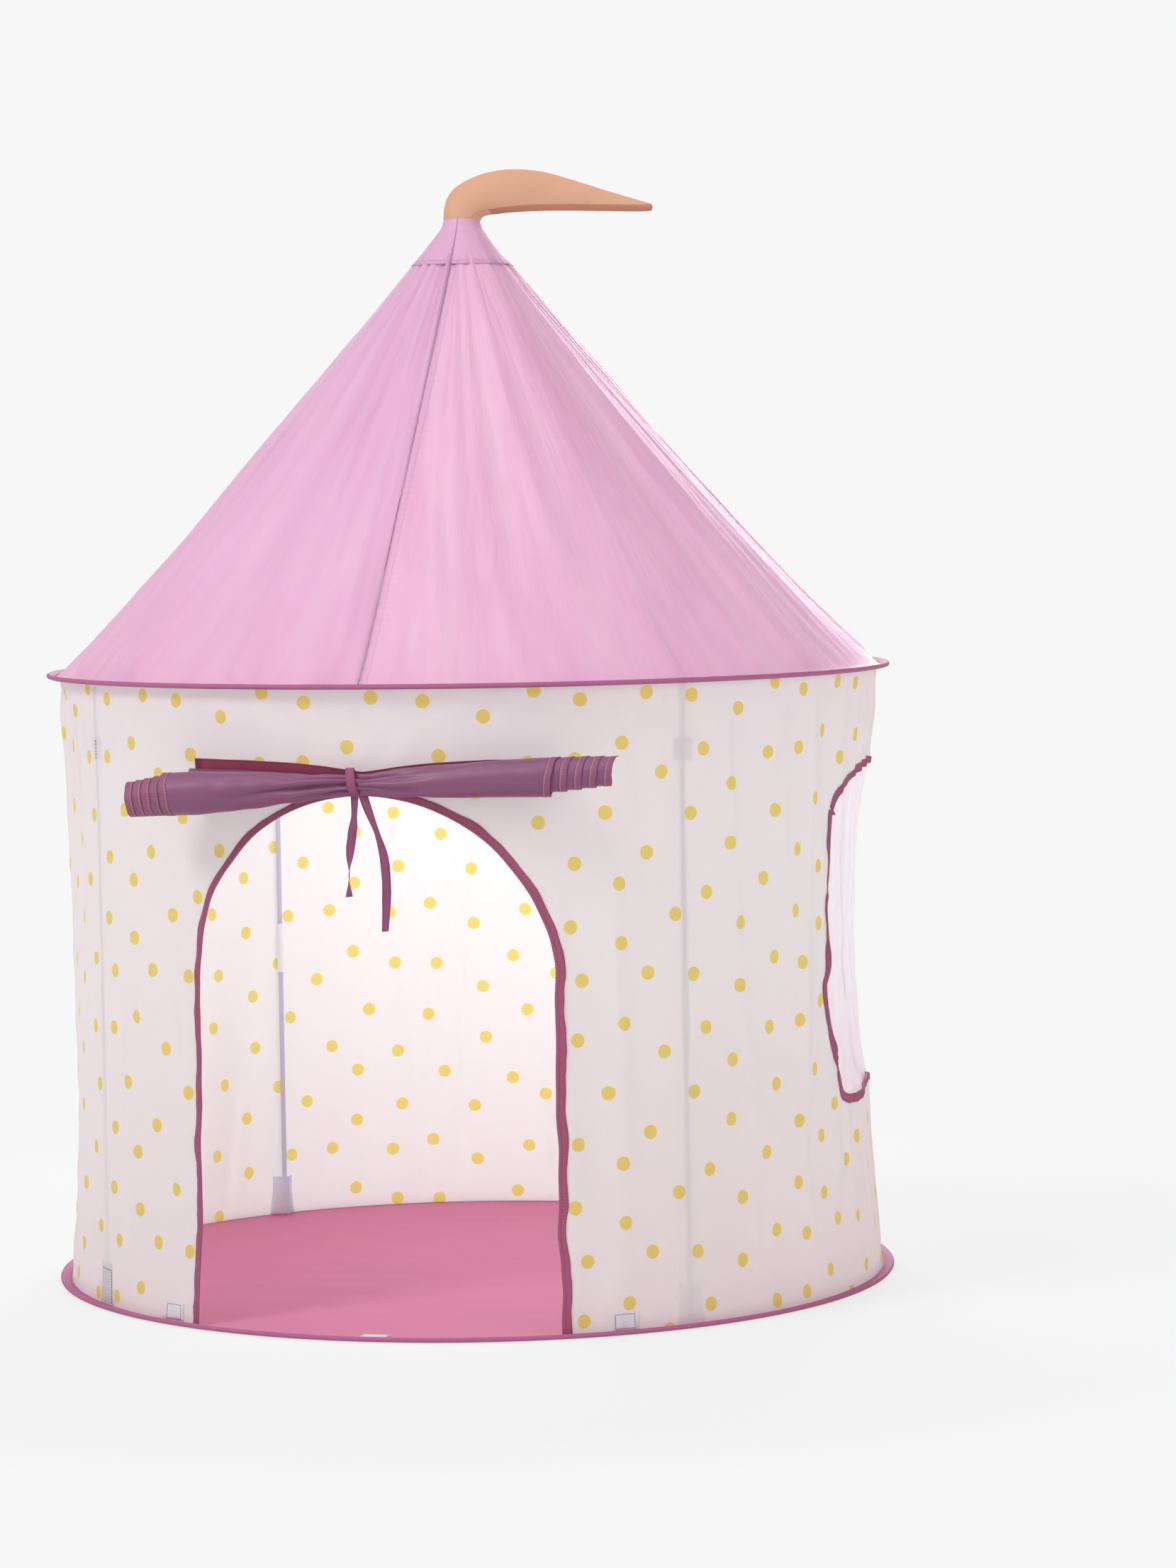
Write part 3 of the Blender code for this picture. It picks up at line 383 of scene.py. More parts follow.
def roofMarks(start, across, up, room, colour, height):
    backSeam = roofSeam["panelGirth"] - up * roofSeam["panelTaper"] - across
    east = start.node("ShaderNodeSeparateXYZ", None, {"Vector": room})
    north, high = east.pick("Y"), east.pick("Z")
    bearing = start.maths("ARCTAN2", east, north * -1.0)
    fan = start.node("ShaderNodeCombineXYZ", None, {"X": bearing, "Y": high * 0.35, "Z": high * high * 0.3})
    # painted sheen and painted shade: streaks fanning down the slope, tinted lighter as painted satin
    # highlights and darker as painted shade, and also raised a little as relief
    streak = fan.mottle(7.0, 4.0, 0.6) - 0.5
    fine = fan.mottle(15.0, 2.0, 0.5) - 0.5
    drawn = streak * 2.2 + fine * 0.7
    colour = drawn.most(0.0).least(0.85).tint(colour, roofSeam["paintedStreakShade"])
    colour = (drawn * -1.0).most(0.0).least(0.7).tint(colour, roofSeam["paintedSheenStreak"])
    height = height + drawn * roofSeam["streakDepth"]
    pitch = roofSeam["puckerPitch"]
    for distance in (across, backSeam):
        # painted shade: the lap of two layers is tinted darker lilac, more strongly higher up, for the light
        # it holds back
        lapShade = distance.below(roofSeam["lapWidth"], 0.0008) * up.below(1.0, 0.1)
        colour = (lapShade * (up * 0.28 + 0.05)).tint(colour, roofSeam["lapPaintedShade"])
        # painted shadow: a thin dark line is painted along the lap's edge
        edge = distance.size().below(roofSeam["lineWidth"], 0.0007)
        colour = (edge * 0.72).tint(colour, roofSeam["seamLinePaintedShadow"])
        thread = stitchRow(up, distance, roofSeam["stitchLine"], roofSeam["stitchPitch"], 0.0005)
        colour = (thread * 0.35).tint(colour, roofSeam["threadColour"])
        near = distance.size().below(roofSeam["puckerReach"], 0.016)
        wave = (up / pitch * 2.0 * math.pi + room.mottle(25.0) * 5.0).sine()
        height = height + near * wave * roofSeam["puckerDepth"]
    return colour, height


# The cap's wavy row of stitches above its hem, the hem's band painted darker lilac as the shade of its two
# layers, the puckers round it, and the seam down its front with a thin dark line painted as its shadow
capSeam = {
    "hem": 0.0060,
    "hemPaintedShade": (0.62, 0.34, 0.58),
    "wander": 0.004,
    "stitchPitch": 0.0036,
    "threadColour": (0.40, 0.15, 0.32),
    "girth": 0.30,
    "seamWidth": 0.0011,
    "seamPaintedShadow": (0.30, 0.09, 0.20),
    "puckerPitch": 0.0075,
    "puckerReach": 0.014,
    "puckerDepth": 0.0004,
}


def capMarks(start, along, across, room, colour, height):
    wave = across + (room.mottle(60.0) - 0.5) * capSeam["wander"]
    row = stitchRow(along, wave, capSeam["hem"], capSeam["stitchPitch"], 0.0006)
    colour = (row * 0.6).tint(colour, capSeam["threadColour"])
    # painted shade: the hem's band of two layers is tinted darker lilac for the light it holds back
    colour = (wave.below(capSeam["hem"], 0.0008) * 0.22).tint(colour, capSeam["hemPaintedShade"])
    # painted shadow: a thin dark line is painted down the cap's seam
    seam = (along - capSeam["girth"] / 2.0).size().below(capSeam["seamWidth"], 0.0007)
    colour = (seam * 0.7).tint(colour, capSeam["seamPaintedShadow"])
    gather = (along / capSeam["puckerPitch"] * 2.0 * math.pi + room.mottle(30.0) * 5.0).sine()
    pucker = gather * across.below(capSeam["puckerReach"], 0.010)
    return colour, height + pucker * capSeam["puckerDepth"]


def tapeMarks(rows, thread, strength, pitch=0.0034):
    # rows of stitches along a tape, each sunk in a groove
    def marks(start, along, across, room, colour, height):
        for line in rows:
            row = stitchRow(along, across, line, pitch)
            colour = (row * strength).tint(colour, thread)
            height = height - row * 0.0002
            groove = (across - line).size().below(0.0009, 0.0008)
            height = height - groove * 0.00012
        return colour, height
    return marks


# The header tape's stitches, and a dark block of them at its free end
headerSeam = {
    "rows": (0.0020, 0.0106),
    "thread": (0.20, 0.04, 0.08),
    "tackLength": 0.0085,
    "tackPitch": 0.0011,
    "tackColour": (0.10, 0.015, 0.04),
    "tackHeight": 0.0003,
}


def headerMarks(start, along, across, room, colour, height):
    sewn = tapeMarks(headerSeam["rows"], headerSeam["thread"], 0.7)
    colour, height = sewn(start, along, across, room, colour, height)
    tack = along.below(headerSeam["tackLength"], 0.0005)
    ribs = (along * 2.0 * math.pi / headerSeam["tackPitch"]).sine() * 0.3 + 0.6
    return (tack * ribs).tint(colour, headerSeam["tackColour"]), height + tack * headerSeam["tackHeight"]


# The pennant's darker facing along its lower edge, its folded tip and its row of stitches
pennantSeam = {
    "facingWidth": 0.0068,
    "facingStart": 0.038,
    "tipStart": 0.236,
    "facingColour": (0.60, 0.24, 0.17),
    "stitchLine": 0.0071,
    "stitchPitch": 0.0036,
    "threadColour": (0.42, 0.14, 0.09),
}


def pennantMarks(start, along, across, room, colour, height):
    pastStart = (pennantSeam["facingStart"] - along).below(0.0, 0.0008)
    facing = across.below(pennantSeam["facingWidth"], 0.0006) * pastStart
    tip = (pennantSeam["tipStart"] - along).below(0.0, 0.0008)
    colour = (facing.most(tip) * 0.85).tint(colour, pennantSeam["facingColour"])
    row = stitchRow(along, across, pennantSeam["stitchLine"], pennantSeam["stitchPitch"], 0.0005)
    return (row * 0.5).tint(colour, pennantSeam["threadColour"]), height


# A fastener pad's brushed loops and the stitches round its edge
padSeam = {
    "inset": 0.0016,
    "thread": 0.0006,
    "pitch": 0.003,
    "threadColour": (0.24, 0.14, 0.22),
    "loopScale": 700.0,
    "loopHeight": 0.0008,
    "seamDepth": 0.0004,
}


def padMarks(wide, tall):
    def marks(start, across, up, room, colour, height):
        sideways = (across - wide / 2.0).size() - wide / 2.0
        upwards = (up - tall / 2.0).size() - tall / 2.0
        outline = (sideways.most(upwards) + padSeam["inset"]).size().below(padSeam["thread"], 0.0004)
        dash = (((across + up) / padSeam["pitch"]).fraction() - 0.5).size().below(0.36, 0.1)
        colour = (outline * dash * 0.8).tint(colour, padSeam["threadColour"])
        loops = room.mottle(padSeam["loopScale"], 2.0, 0.7)
        return colour, height + loops * padSeam["loopHeight"] - outline * padSeam["seamDepth"]
    return marks


# Window tulle: slanted fine cells, more open in some folds than in others
tulle = {
    "cell": 0.0022,
    "slant": 0.57,
    "shade": (0.90, 0.87, 0.95),
    "thread": (0.98, 0.96, 0.98),
    "threadThrough": (0.97, 0.95, 0.98),
    "openShares": (0.20, 0.30, 0.26),
}


def makeNetFinish():
    start = startFinish("windowTulle")
    across, up, room = surfacePoints(start)[1:]
    cell = tulle["cell"]
    upright = (across * 2.0 * math.pi / cell).sine()
    slanted = ((up + across * tulle["slant"]) * 2.0 * math.pi / cell).sine()
    folds = room.mottle(22.0, 3.0)
    colour = folds.tint(tulle["shade"], tulle["thread"])
    ofCells, ofFolds, always = tulle["openShares"]
    openness = (upright * slanted).size() * ofCells + folds * ofFolds + always
    hole = start.node("ShaderNodeBsdfTransparent", None, {"Color": (1.0, 1.0, 1.0, 1.0)})
    lit = start.node("ShaderNodeBsdfPrincipled", None, {"Base Color": colour, "Roughness": 0.85})
    shone = glowing(start, tulle["threadThrough"])
    thread = start.node("ShaderNodeMixShader", None, {0: 0.5, 1: lit, 2: shone})
    surface = start.node("ShaderNodeMixShader", None, {0: openness, 1: thread, 2: hole})
    start.node("ShaderNodeOutputMaterial", None, {"Surface": surface})


def makeHardFinish(name, colour, darker, roughness, streak=(1.0, 1.0, 1.0), **skin):
    # a drawn or moulded surface, rubbed duller in places
    start = startFinish(name)
    room = start.node("ShaderNodeTexCoord", out=3)
    drawn = room.mottle(260.0, 2.0, 0.5, streak)
    rubbed = room.mottle(30.0, 3.0)
    paint = (drawn * 0.5 + rubbed * 0.3).tint(colour, darker)
    skin = {"roughness": rubbed * 0.18 + roughness, "shine": 0.5, "throughColour": colour, **skin}
    closeFinish(start, skin, paint, drawn * 0.00008 + rubbed * 0.00005)


makeWallFinish()
makeClothFinish("roofPolyester", {
    "colour": (0.95, 0.615, 0.80), "cool": (0.92, 0.60, 0.82), "shade": (0.84, 0.50, 0.72),
    "fibreShare": 0.10, "roughness": 0.42, "shine": 0.5, "sheen": 0.1, "lightThrough": 0.30,
    "throughColour": (0.97, 0.68, 0.86), "crumple": 0.0012, "crumpleScale": 26.0, "marks": roofMarks})
makeClothFinish("roofCapCloth", {
    "colour": (0.95, 0.60, 0.82), "cool": (0.91, 0.56, 0.80), "shade": (0.76, 0.38, 0.64),
    "fibreShare": 0.2, "roughness": 0.46, "shine": 0.5, "sheen": 0.2, "lightThrough": 0.3,
    "throughColour": (0.95, 0.64, 0.84), "crumple": 0.0016, "crumpleScale": 48.0, "marks": capMarks})
makeClothFinish("floorPolyester", {
    "colour": (0.67, 0.20, 0.33), "cool": (0.62, 0.19, 0.34), "shade": (0.47, 0.13, 0.24),
    "roughness": 0.66, "shine": 0.3, "crumple": 0.0012, "crumpleScale": 26.0})
makeClothFinish("ringTape", {
    "colour": (0.53, 0.15, 0.31), "cool": (0.46, 0.13, 0.29), "shade": (0.33, 0.07, 0.17),
    "fibreShare": 0.35, "roughness": 0.7, "crumple": 0.0014, "crumpleScale": 90.0,
    "marks": tapeMarks((0.0018,), (0.25, 0.05, 0.12), 0.5)})
makeClothFinish("edgeBinding", {
    "colour": (0.50, 0.125, 0.24), "cool": (0.38, 0.08, 0.17), "shade": (0.18, 0.028, 0.07),
    "fibreShare": 0.4, "roughness": 0.72, "crumple": 0.0012, "crumpleScale": 110.0,
    "marks": tapeMarks((0.0016, 0.0066), (0.22, 0.05, 0.10), 0.6)})
makeClothFinish("headerTapeCloth", {
    "colour": (0.46, 0.075, 0.145), "cool": (0.40, 0.065, 0.14), "shade": (0.22, 0.03, 0.065),
    "fibreShare": 0.35, "roughness": 0.7, "lightThrough": 0.2, "throughColour": (0.5, 0.2, 0.25),
    "crumple": 0.001, "crumpleScale": 120.0, "marks": headerMarks})
makeClothFinish("doorPolyester", {
    "colour": (0.31, 0.10, 0.21), "cool": (0.25, 0.08, 0.19), "shade": (0.10, 0.023, 0.062),
    "fibreShare": 0.22, "roughness": 0.42, "shine": 0.5, "sheen": 0.05, "lightThrough": 0.04,
    "throughColour": (0.45, 0.15, 0.28), "crumple": 0.0014, "crumpleScale": 40.0})
makeClothFinish("flapEdgeTape", {
    "colour": (0.36, 0.11, 0.21), "cool": (0.31, 0.09, 0.20), "shade": (0.15, 0.03, 0.08),
    "fibreShare": 0.3, "roughness": 0.62, "crumple": 0.001, "crumpleScale": 90.0,
    "marks": tapeMarks((0.0068,), (0.50, 0.33, 0.18), 0.8, 0.0030)})
makeClothFinish("tieRibbon", {
    "colour": (0.36, 0.085, 0.20), "cool": (0.31, 0.07, 0.18), "shade": (0.17, 0.03, 0.08),
    "fibreShare": 0.4, "roughness": 0.6, "crumple": 0.0009, "crumpleScale": 110.0,
    "marks": tapeMarks((0.0012, 0.0083), (0.20, 0.04, 0.09), 0.5)})
makeClothFinish("pennantCloth", {
    "colour": (0.92, 0.58, 0.385), "cool": (0.88, 0.53, 0.36), "shade": (0.70, 0.34, 0.22),
    "fibreShare": 0.2, "roughness": 0.66, "lightThrough": 0.25, "throughColour": (0.88, 0.50, 0.30),
    "crumple": 0.0010, "crumpleScale": 70.0, "marks": pennantMarks})
makeClothFinish("pocketCloth", {
    "colour": (0.86, 0.84, 0.91), "cool": (0.80, 0.79, 0.89), "shade": (0.62, 0.60, 0.72),
    "fibreShare": 0.3, "roughness": 0.75, "lightThrough": 0.85, "throughColour": (0.95, 0.94, 0.98),
    "crumple": 0.0012, "crumpleScale": 90.0, "marks": tapeMarks((0.0025,), (0.22, 0.14, 0.22), 0.7)})
# painted shade: this pocket is made opaque and dark grey-blue so that it shows through the wall as the shade
# it casts
makeClothFinish("pocketClothPaintedShade", {
    "colour": (0.44, 0.45, 0.54), "cool": (0.38, 0.40, 0.50), "shade": (0.26, 0.27, 0.36),
    "fibreShare": 0.3, "roughness": 0.75, "crumple": 0.0012, "crumpleScale": 90.0})
makeClothFinish("wallPadFastener", {
    "colour": (0.90, 0.87, 0.92), "cool": (0.86, 0.83, 0.90), "shade": (0.66, 0.60, 0.70),
    "fibreShare": 0.3, "roughness": 0.9, "crumple": 0.0004, "marks": padMarks(0.025, 0.019)})
makeClothFinish("floorPadFastener", {
    "colour": (0.84, 0.80, 0.86), "cool": (0.78, 0.75, 0.84), "shade": (0.55, 0.48, 0.58),
    "fibreShare": 0.4, "roughness": 0.9, "crumple": 0.0004, "marks": padMarks(0.030, 0.014)})
makeNetFinish()
makeHardFinish("poleGlassfibre", (0.78, 0.79, 0.88), (0.66, 0.67, 0.78), 0.36, (1.0, 1.0, 0.08),
               lightThrough=0.55)
makeHardFinish("ferrulePlastic", (0.98, 0.98, 0.98), (0.76, 0.77, 0.80), 0.30)
makeHardFinish("ringSteel", (0.56, 0.56, 0.58), (0.42, 0.41, 0.42), 0.28, metallic=1.0)
makeHardFinish("seamThread", (0.30, 0.12, 0.22), (0.22, 0.08, 0.16), 0.7)
print("tent: finishes made:", len(finishes))


# Meshes: a sheet starts as a flat grid whose points are then laid on the tent
meshing = {"weld": 0.000005, "sharpAngle": 50.0, "sharpFrom": 0.0005}


def gridSheet(across, up, place, uvAt=None, closeAcross=False, closeUp=False):
    bm = bmesh.new()
    bmesh.ops.create_grid(bm, x_segments=across, y_segments=up, size=0.5)
    uvMap = bm.loops.layers.uv.new("UVMap")
    spots = {}
    for vert in bm.verts:
        spots[vert] = (round((vert.co.x + 0.5) * across), round((vert.co.y + 0.5) * up))
    if uvAt:
        for face in bm.faces:
            for loop in face.loops:
                loop[uvMap].uv = uvAt(*spots[loop.vert])
    for vert, (column, row) in spots.items():
        vert.co = place(column % across if closeAcross else column, row % up if closeUp else row)
    if closeAcross or closeUp:
        bmesh.ops.remove_doubles(bm, verts=bm.verts, dist=meshing["weld"])
    return bm


def finishPiece(name, bm, finish, body, thickness=0.0, offset=-1.0, closed=False):
    if closed:
        bmesh.ops.holes_fill(bm, edges=bm.edges, sides=0)
        bmesh.ops.recalc_face_normals(bm, faces=bm.faces)
    mesh = bpy.data.meshes.new(name)
    bm.to_mesh(mesh)
    bm.free()
    mesh.materials.append(finishes[finish])
    mesh.shade_smooth()
    piece = bpy.data.objects.new(name, mesh)
    bpy.context.scene.collection.objects.link(piece)
    if thickness:
        shell = piece.modifiers.new("Cloth thickness", "SOLIDIFY")
        shell.thickness = thickness
        shell.offset = offset
        shell.use_even_offset = False
    if closed or thickness > meshing["sharpFrom"]:
        mesh.set_sharp_from_angle(angle=math.radians(meshing["sharpAngle"]))
    if body:
        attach(piece, body)
    return piece


def smoothLine(points, steps, closed=False):
    # a soft curve through a few points, and the same number of steps between each
    count = len(points)
    made = []
    for index in range(count if closed else count - 1):
        picks = []
        for ahead in (-1, 0, 1, 2):
            place = index + ahead
            picks.append(points[place % count] if closed else points[min(count - 1, max(0, place))])
        for step in range(steps):
            t = step / steps
            spot = []
            for a, b, c, d in zip(*picks):
                bend, twist = 2 * a - 5 * b + 4 * c - d, 3 * b - a - 3 * c + d
                spot.append(0.5 * (2 * b + (c - a) * t + bend * t * t + twist * t ** 3))
            made.append(tuple(spot))
    if not closed:
        made.append(tuple(points[-1]))
    return made


def pathFrames(points, closed=False):
    # each point of a flat outline with its outward direction and its distance along
    frames, run = [], 0.0
    count = len(points)
    for index, (x, y) in enumerate(points):
        before = points[index - 1] if index or closed else points[0]
        after = points[(index + 1) % count] if index < count - 1 or closed else points[-1]
        dx, dy = after[0] - before[0], after[1] - before[1]
        length = math.hypot(dx, dy) or 1.0
        if index:
            run += math.hypot(x - points[index - 1][0], y - points[index - 1][1])
        frames.append(((x, y), (dy / length, -dx / length), run))
    return frames


def insideOutline(spots, outline):
    inside = np.zeros(len(spots), dtype=bool)
    for (x0, y0), (x1, y1) in zip(outline, outline[1:] + outline[:1]):
        crosses = (y0 > spots[:, 1]) != (y1 > spots[:, 1])
        at = (x1 - x0) * (spots[:, 1] - y0) / ((y1 - y0) or 1e-12) + x0
        inside ^= crosses & (spots[:, 0] < at)
    return inside


def cutOut(bm, outline, reach, keepInside=False):
    # cut a flat sheet along an outline, then drop the faces on the wrong side of it
    faces = list(bm.faces)
    middles = np.array([face.calc_center_median()[:2] for face in faces])
    edge = np.array(outline)
    nearEdge = np.zeros(len(faces), dtype=bool)
    for spot in edge:
        nearEdge |= np.hypot(middles[:, 0] - spot[0], middles[:, 1] - spot[1]) < 2.0 * reach
    band = {face for face, near in zip(faces, nearEdge) if near}
    for (x0, y0), (x1, y1) in zip(outline, outline[1:] + outline[:1]):
        run = Vector((x1 - x0, y1 - y0))
        if run.length < 1e-7:
            continue
        run.normalize()
        length = math.hypot(x1 - x0, y1 - y0)
        touched = []
        for face in band:
            middle = face.calc_center_median()
            ahead = (middle.x - x0) * run.x + (middle.y - y0) * run.y
            aside = abs((middle.x - x0) * run.y - (middle.y - y0) * run.x)
            if -reach < ahead < length + reach and aside < reach:
                touched.append(face)
        if not touched:
            continue
        geom = set(touched)
        for face in touched:
            geom.update(face.edges)
            geom.update(face.verts)
        band.difference_update(touched)
        cut = bmesh.ops.bisect_plane(bm, geom=list(geom), dist=1e-7, plane_co=(x0, y0, 0.0),
                                     plane_no=(run.y, -run.x, 0.0))
        band.update(item for item in cut["geom"] if isinstance(item, bmesh.types.BMFace))
    faces = list(bm.faces)
    middles = np.array([face.calc_center_median()[:2] for face in faces])
    inside = insideOutline(middles, outline)
    gone = [face for face, within in zip(faces, inside) if bool(within) != keepInside]
    bmesh.ops.delete(bm, geom=gone, context="FACES")


# Wall: one printed sheet, hemmed into both rings, cut out for the door and the window
wall = {
    "flatRadius": 0.463,
    "columns": 500,
    "closeRows": 9,
    "closeRow": 0.0036,
    "middleRows": 50,
    "hemFoot": 0.0078,
    "hemEave": 0.0092,
    "thickness": 0.0006,
    "poleHold": (1.2, 9.0),
    "calmEnds": 0.05,
    # each wave: how fast it turns across and up, its seed, and its depth
    "swells": ((6.0, 2.0, 1.3, 0.00352), (17.0, 2.4, 4.1, 0.002816), (32.0, 3.5, 8.8, 0.0013)),
    "ridges": ((9.0, 1.1, 3.0, 0.0052), (15.0, 1.6, 7.5, 0.0034)),
    "sewnFlat": (0.30, 0.08, 0.46, 0.10),
    "crumple": 0.0005,
    "pucker": 0.0008,
    "puckerPitch": 0.0165,
    "puckerReach": (0.020, 0.022),
    "fan": 0.0011,
    "fanPitch": 0.047,
    "cutReach": 0.017,
    # start, end, half width and depth of each crease
    "creases": (
        ((0.30, 0.30), (0.335, 0.02), 0.010, 0.0016),
        ((0.365, 0.16), (0.395, 0.01), 0.006, 0.0012),
        ((0.372, 0.05), (0.42, 0.13), 0.006, 0.0011),
        ((0.372, 0.045), (0.41, 0.20), 0.006, 0.0010),
        ((0.50, 0.02), (0.53, 0.12), 0.007, 0.0011),
        ((-0.40, 0.04), (-0.47, 0.17), 0.007, 0.0012),
        ((-0.40, 0.04), (-0.52, 0.10), 0.006, 0.0010),
        ((-0.55, 0.02), (-0.60, 0.10), 0.008, 0.0012),
        ((0.0, 0.632), (-0.05, 0.716), 0.007, 0.0028),
        ((0.0, 0.632), (0.045, 0.716), 0.007, 0.0026),
        ((-0.005, 0.632), (-0.10, 0.716), 0.009, 0.0028),
        ((-0.02, 0.632), (-0.17, 0.700), 0.009, 0.0024),
        ((0.02, 0.632), (0.13, 0.714), 0.009, 0.0024),
        ((0.352, 0.70), (0.345, 0.03), 0.016, -0.0060),
        ((0.328, 0.70), (0.320, 0.10), 0.013, 0.0034),
        ((0.36, 0.66), (0.43, 0.58), 0.008, 0.0018),
        ((0.36, 0.68), (0.28, 0.60), 0.008, 0.0018),
        ((-0.38, 0.68), (-0.30, 0.60), 0.008, 0.0018),
        ((-0.38, 0.68), (-0.47, 0.60), 0.008, 0.0018),
        ((-0.3827, 0.71), (-0.3827, 0.20), 0.0045, 0.0072),
        ((-0.3827, 0.24), (-0.3740, 0.04), 0.0050, 0.0060),
        ((-0.396, 0.22), (-0.378, 0.05), 0.006, -0.0040),
        ((0.428, 0.082), (0.454, 0.079), 0.005, 0.0022),
        ((0.68, 0.122), (0.715, 0.02), 0.007, 0.0030),
        ((0.60, 0.20), (0.66, 0.02), 0.010, 0.0030),
    ),
    "printKnots": ((-180.0, -1.4545), (-139.0, -1.1232), (-20.0, -0.1013), (51.0, 0.4997), (180.0, 1.5692)),
    "printDrop": 0.006,
}


def wallRelief(across, height):
    bearing = math.degrees(across / wall["flatRadius"])
    start, spread = wall["poleHold"]
    free = ease((toPole(bearing) - start) / spread)
    low, high = height - tent["wallFoot"], tent["wallTop"] - height
    body = ease(low / wall["calmEnds"]) * ease(high / wall["calmEnds"])
    swell = 0.0
    for wide, tall, seed, depth in wall["swells"]:
        swell += depth * ripple(across * wide, height * tall, seed)
    # long upright folds, where the cloth hangs slack between the poles, but not above the door
    aside, asideFade, above, aboveFade = wall["sewnFlat"]
    sewnFlat = ease((aside - abs(across)) / asideFade) * ease((height - above) / aboveFade)
    for wide, tall, seed, depth in wall["ridges"]:
        ridge = max(0.0, 1.0 - abs(ripple(across * wide + 0.5 * height, height * tall, seed)) * 4.5)
        swell += depth * (ridge * ridge - 0.2) * (1.0 - 0.9 * sewnFlat)
    crumple = wall["crumple"] * ripple(across * 52.0, height * 40.0, 2.2)
    relief = body * free * (swell + crumple)
    wave = math.sin(2.0 * math.pi * across / wall["puckerPitch"] + 3.0 * ripple(across * 8.0, 0.0, 7.0))
    fromFoot, fromEave = wall["puckerReach"]
    gathered = ease(1.0 - low / fromFoot) + ease(1.0 - high / fromEave)
    relief += wall["pucker"] * wave * gathered * ease(min(low, high) / 0.006)
    fan = math.sin(2.0 * math.pi * across / wall["fanPitch"] + 4.0 * ripple(across * 5.0, 1.0, 3.0))
    relief += wall["fan"] * fan * ease(1.0 - high / 0.11) * ease(high / 0.03) * free
    relief += creaseDepth((across, height), wall["creases"]) * (0.25 + 0.75 * free)
    return relief


def wallSpot(across, height, offset=0.0):
    bearing = math.degrees(across / wall["flatRadius"])
    foot, top = tent["wallFoot"], tent["wallTop"]
    if height < foot:
        return atBearing(bearing, tent["wallEnd"] + foot - height, foot + offset)
    if height > top:
        return atBearing(bearing, tent["wallEnd"] + height - top, top + offset)
    return atBearing(bearing, wallRadius(bearing, height) + wallRelief(across, height) + offset, height)


def wallRow(row, total):
    # heights up the flat sheet: close together where the seams gather it
    close, step = wall["closeRows"], wall["closeRow"]
    if row == 0:
        return tent["wallFoot"] - wall["hemFoot"]
    if row == total:
        return tent["wallTop"] + wall["hemEave"]
    if row <= close + 1:
        return tent["wallFoot"] + (row - 1) * step
    if row >= total - close - 1:
        return tent["wallTop"] - (total - 1 - row) * step
    low, high = tent["wallFoot"] + close * step, tent["wallTop"] - close * step
    return low + (high - low) * (row - close - 1) / wall["middleRows"]


def printUv(across, height):
    bearing = math.degrees(across / wall["flatRadius"])
    for (low, first), (high, second) in zip(wall["printKnots"], wall["printKnots"][1:]):
        if bearing <= high + 0.001:
            u = first + (second - first) * (bearing - low) / (high - low)
            break
    start, end = wall["printKnots"][1][0], wall["printKnots"][2][0]
    drop = wall["printDrop"] * min(1.0, max(0.0, (bearing - start) / (end - start)))
    return u, height - drop


def flatOf(x, radius, middle=0.0):
    return (middle + math.degrees(math.asin(x / radius))) * math.radians(wall["flatRadius"])


# Door: a straight-sided arch
door = {"halfWidth": 0.2060, "shift": -0.0030, "foot": 0.0033, "straight": 0.390, "rise": 0.208,
        "atRadius": 0.4740, "sideSteps": 60, "archSteps": 96, "tapeWidth": 0.0071, "waver": 0.0022}


def doorLine():
    points = []
    for step in range(door["sideSteps"]):
        points.append((1.0, door["foot"] + (door["straight"] - door["foot"]) * step / door["sideSteps"]))
    for step in range(door["archSteps"] + 1):
        turn = math.pi * step / door["archSteps"]
        points.append((math.cos(turn), door["straight"] + door["rise"] * math.sin(turn)))
    for step in reversed(range(door["sideSteps"])):
        points.append((-1.0, door["foot"] + (door["straight"] - door["foot"]) * step / door["sideSteps"]))
    line = []
    for share, height in points:
        fine = 0.5 * ripple(height * 31.0, share, 2.0)
        waver = door["waver"] * (ripple(height * 13.0, share * 3.0, 5.0) + fine)
        waver *= ease((height - 0.01) / 0.05)
        line.append((flatOf(share * door["halfWidth"] + door["shift"] + waver, door["atRadius"]), height))
    return line


# Window: the outer edge of its binding from the middle of the sill, up one side to the crown
window = {
    "middle": 97.0,
    "atRadius": 0.4655,
    "tapeWidth": 0.0084,
    "steps": 9,
    "edge": (
        (0.0, 0.2215), (0.025, 0.2210), (0.093, 0.2127), (0.147, 0.2200), (0.165, 0.2470), (0.177, 0.2750),
        (0.190, 0.3140), (0.197, 0.3565), (0.1895, 0.3800), (0.196, 0.4500), (0.188, 0.4870), (0.180, 0.5500),
        (0.174, 0.5646), (0.152, 0.5855), (0.106, 0.5995), (0.05, 0.6065), (0.0, 0.6085),
    ),
    "netSteps": 84,
    "netHalf": 0.205,
    "netFoot": 0.208,
    "netTall": 0.410,
    "netInset": 0.0040,
    "netCutReach": 0.012,
    "netSag": 0.011,
    "netSagSpread": 0.06,
    "netOffset": -0.0019,
    "netFolds": ((16.0, 9.0, 6.0, 0.0022), (50.0, 30.0, 9.0, 0.0008)),
}


def windowLine(grow):
    # counted from the sill's middle, up the side towards the back, over the crown and down the door's side
    half = list(window["edge"])
    corners = half + [(-x, height) for x, height in reversed(half[1:-1])]
    line = smoothLine(corners, window["steps"], closed=True)
    made = []
    for (x, height), (outX, outY), run in pathFrames(line, closed=True):
        across = flatOf(x + outX * grow, window["atRadius"], window["middle"])
        made.append((across, height + outY * grow))
    return made


doorEdge = doorLine()
windowEdge = windowLine(-window["tapeWidth"])
print("tent: outlines ready:", len(doorEdge), len(windowEdge))


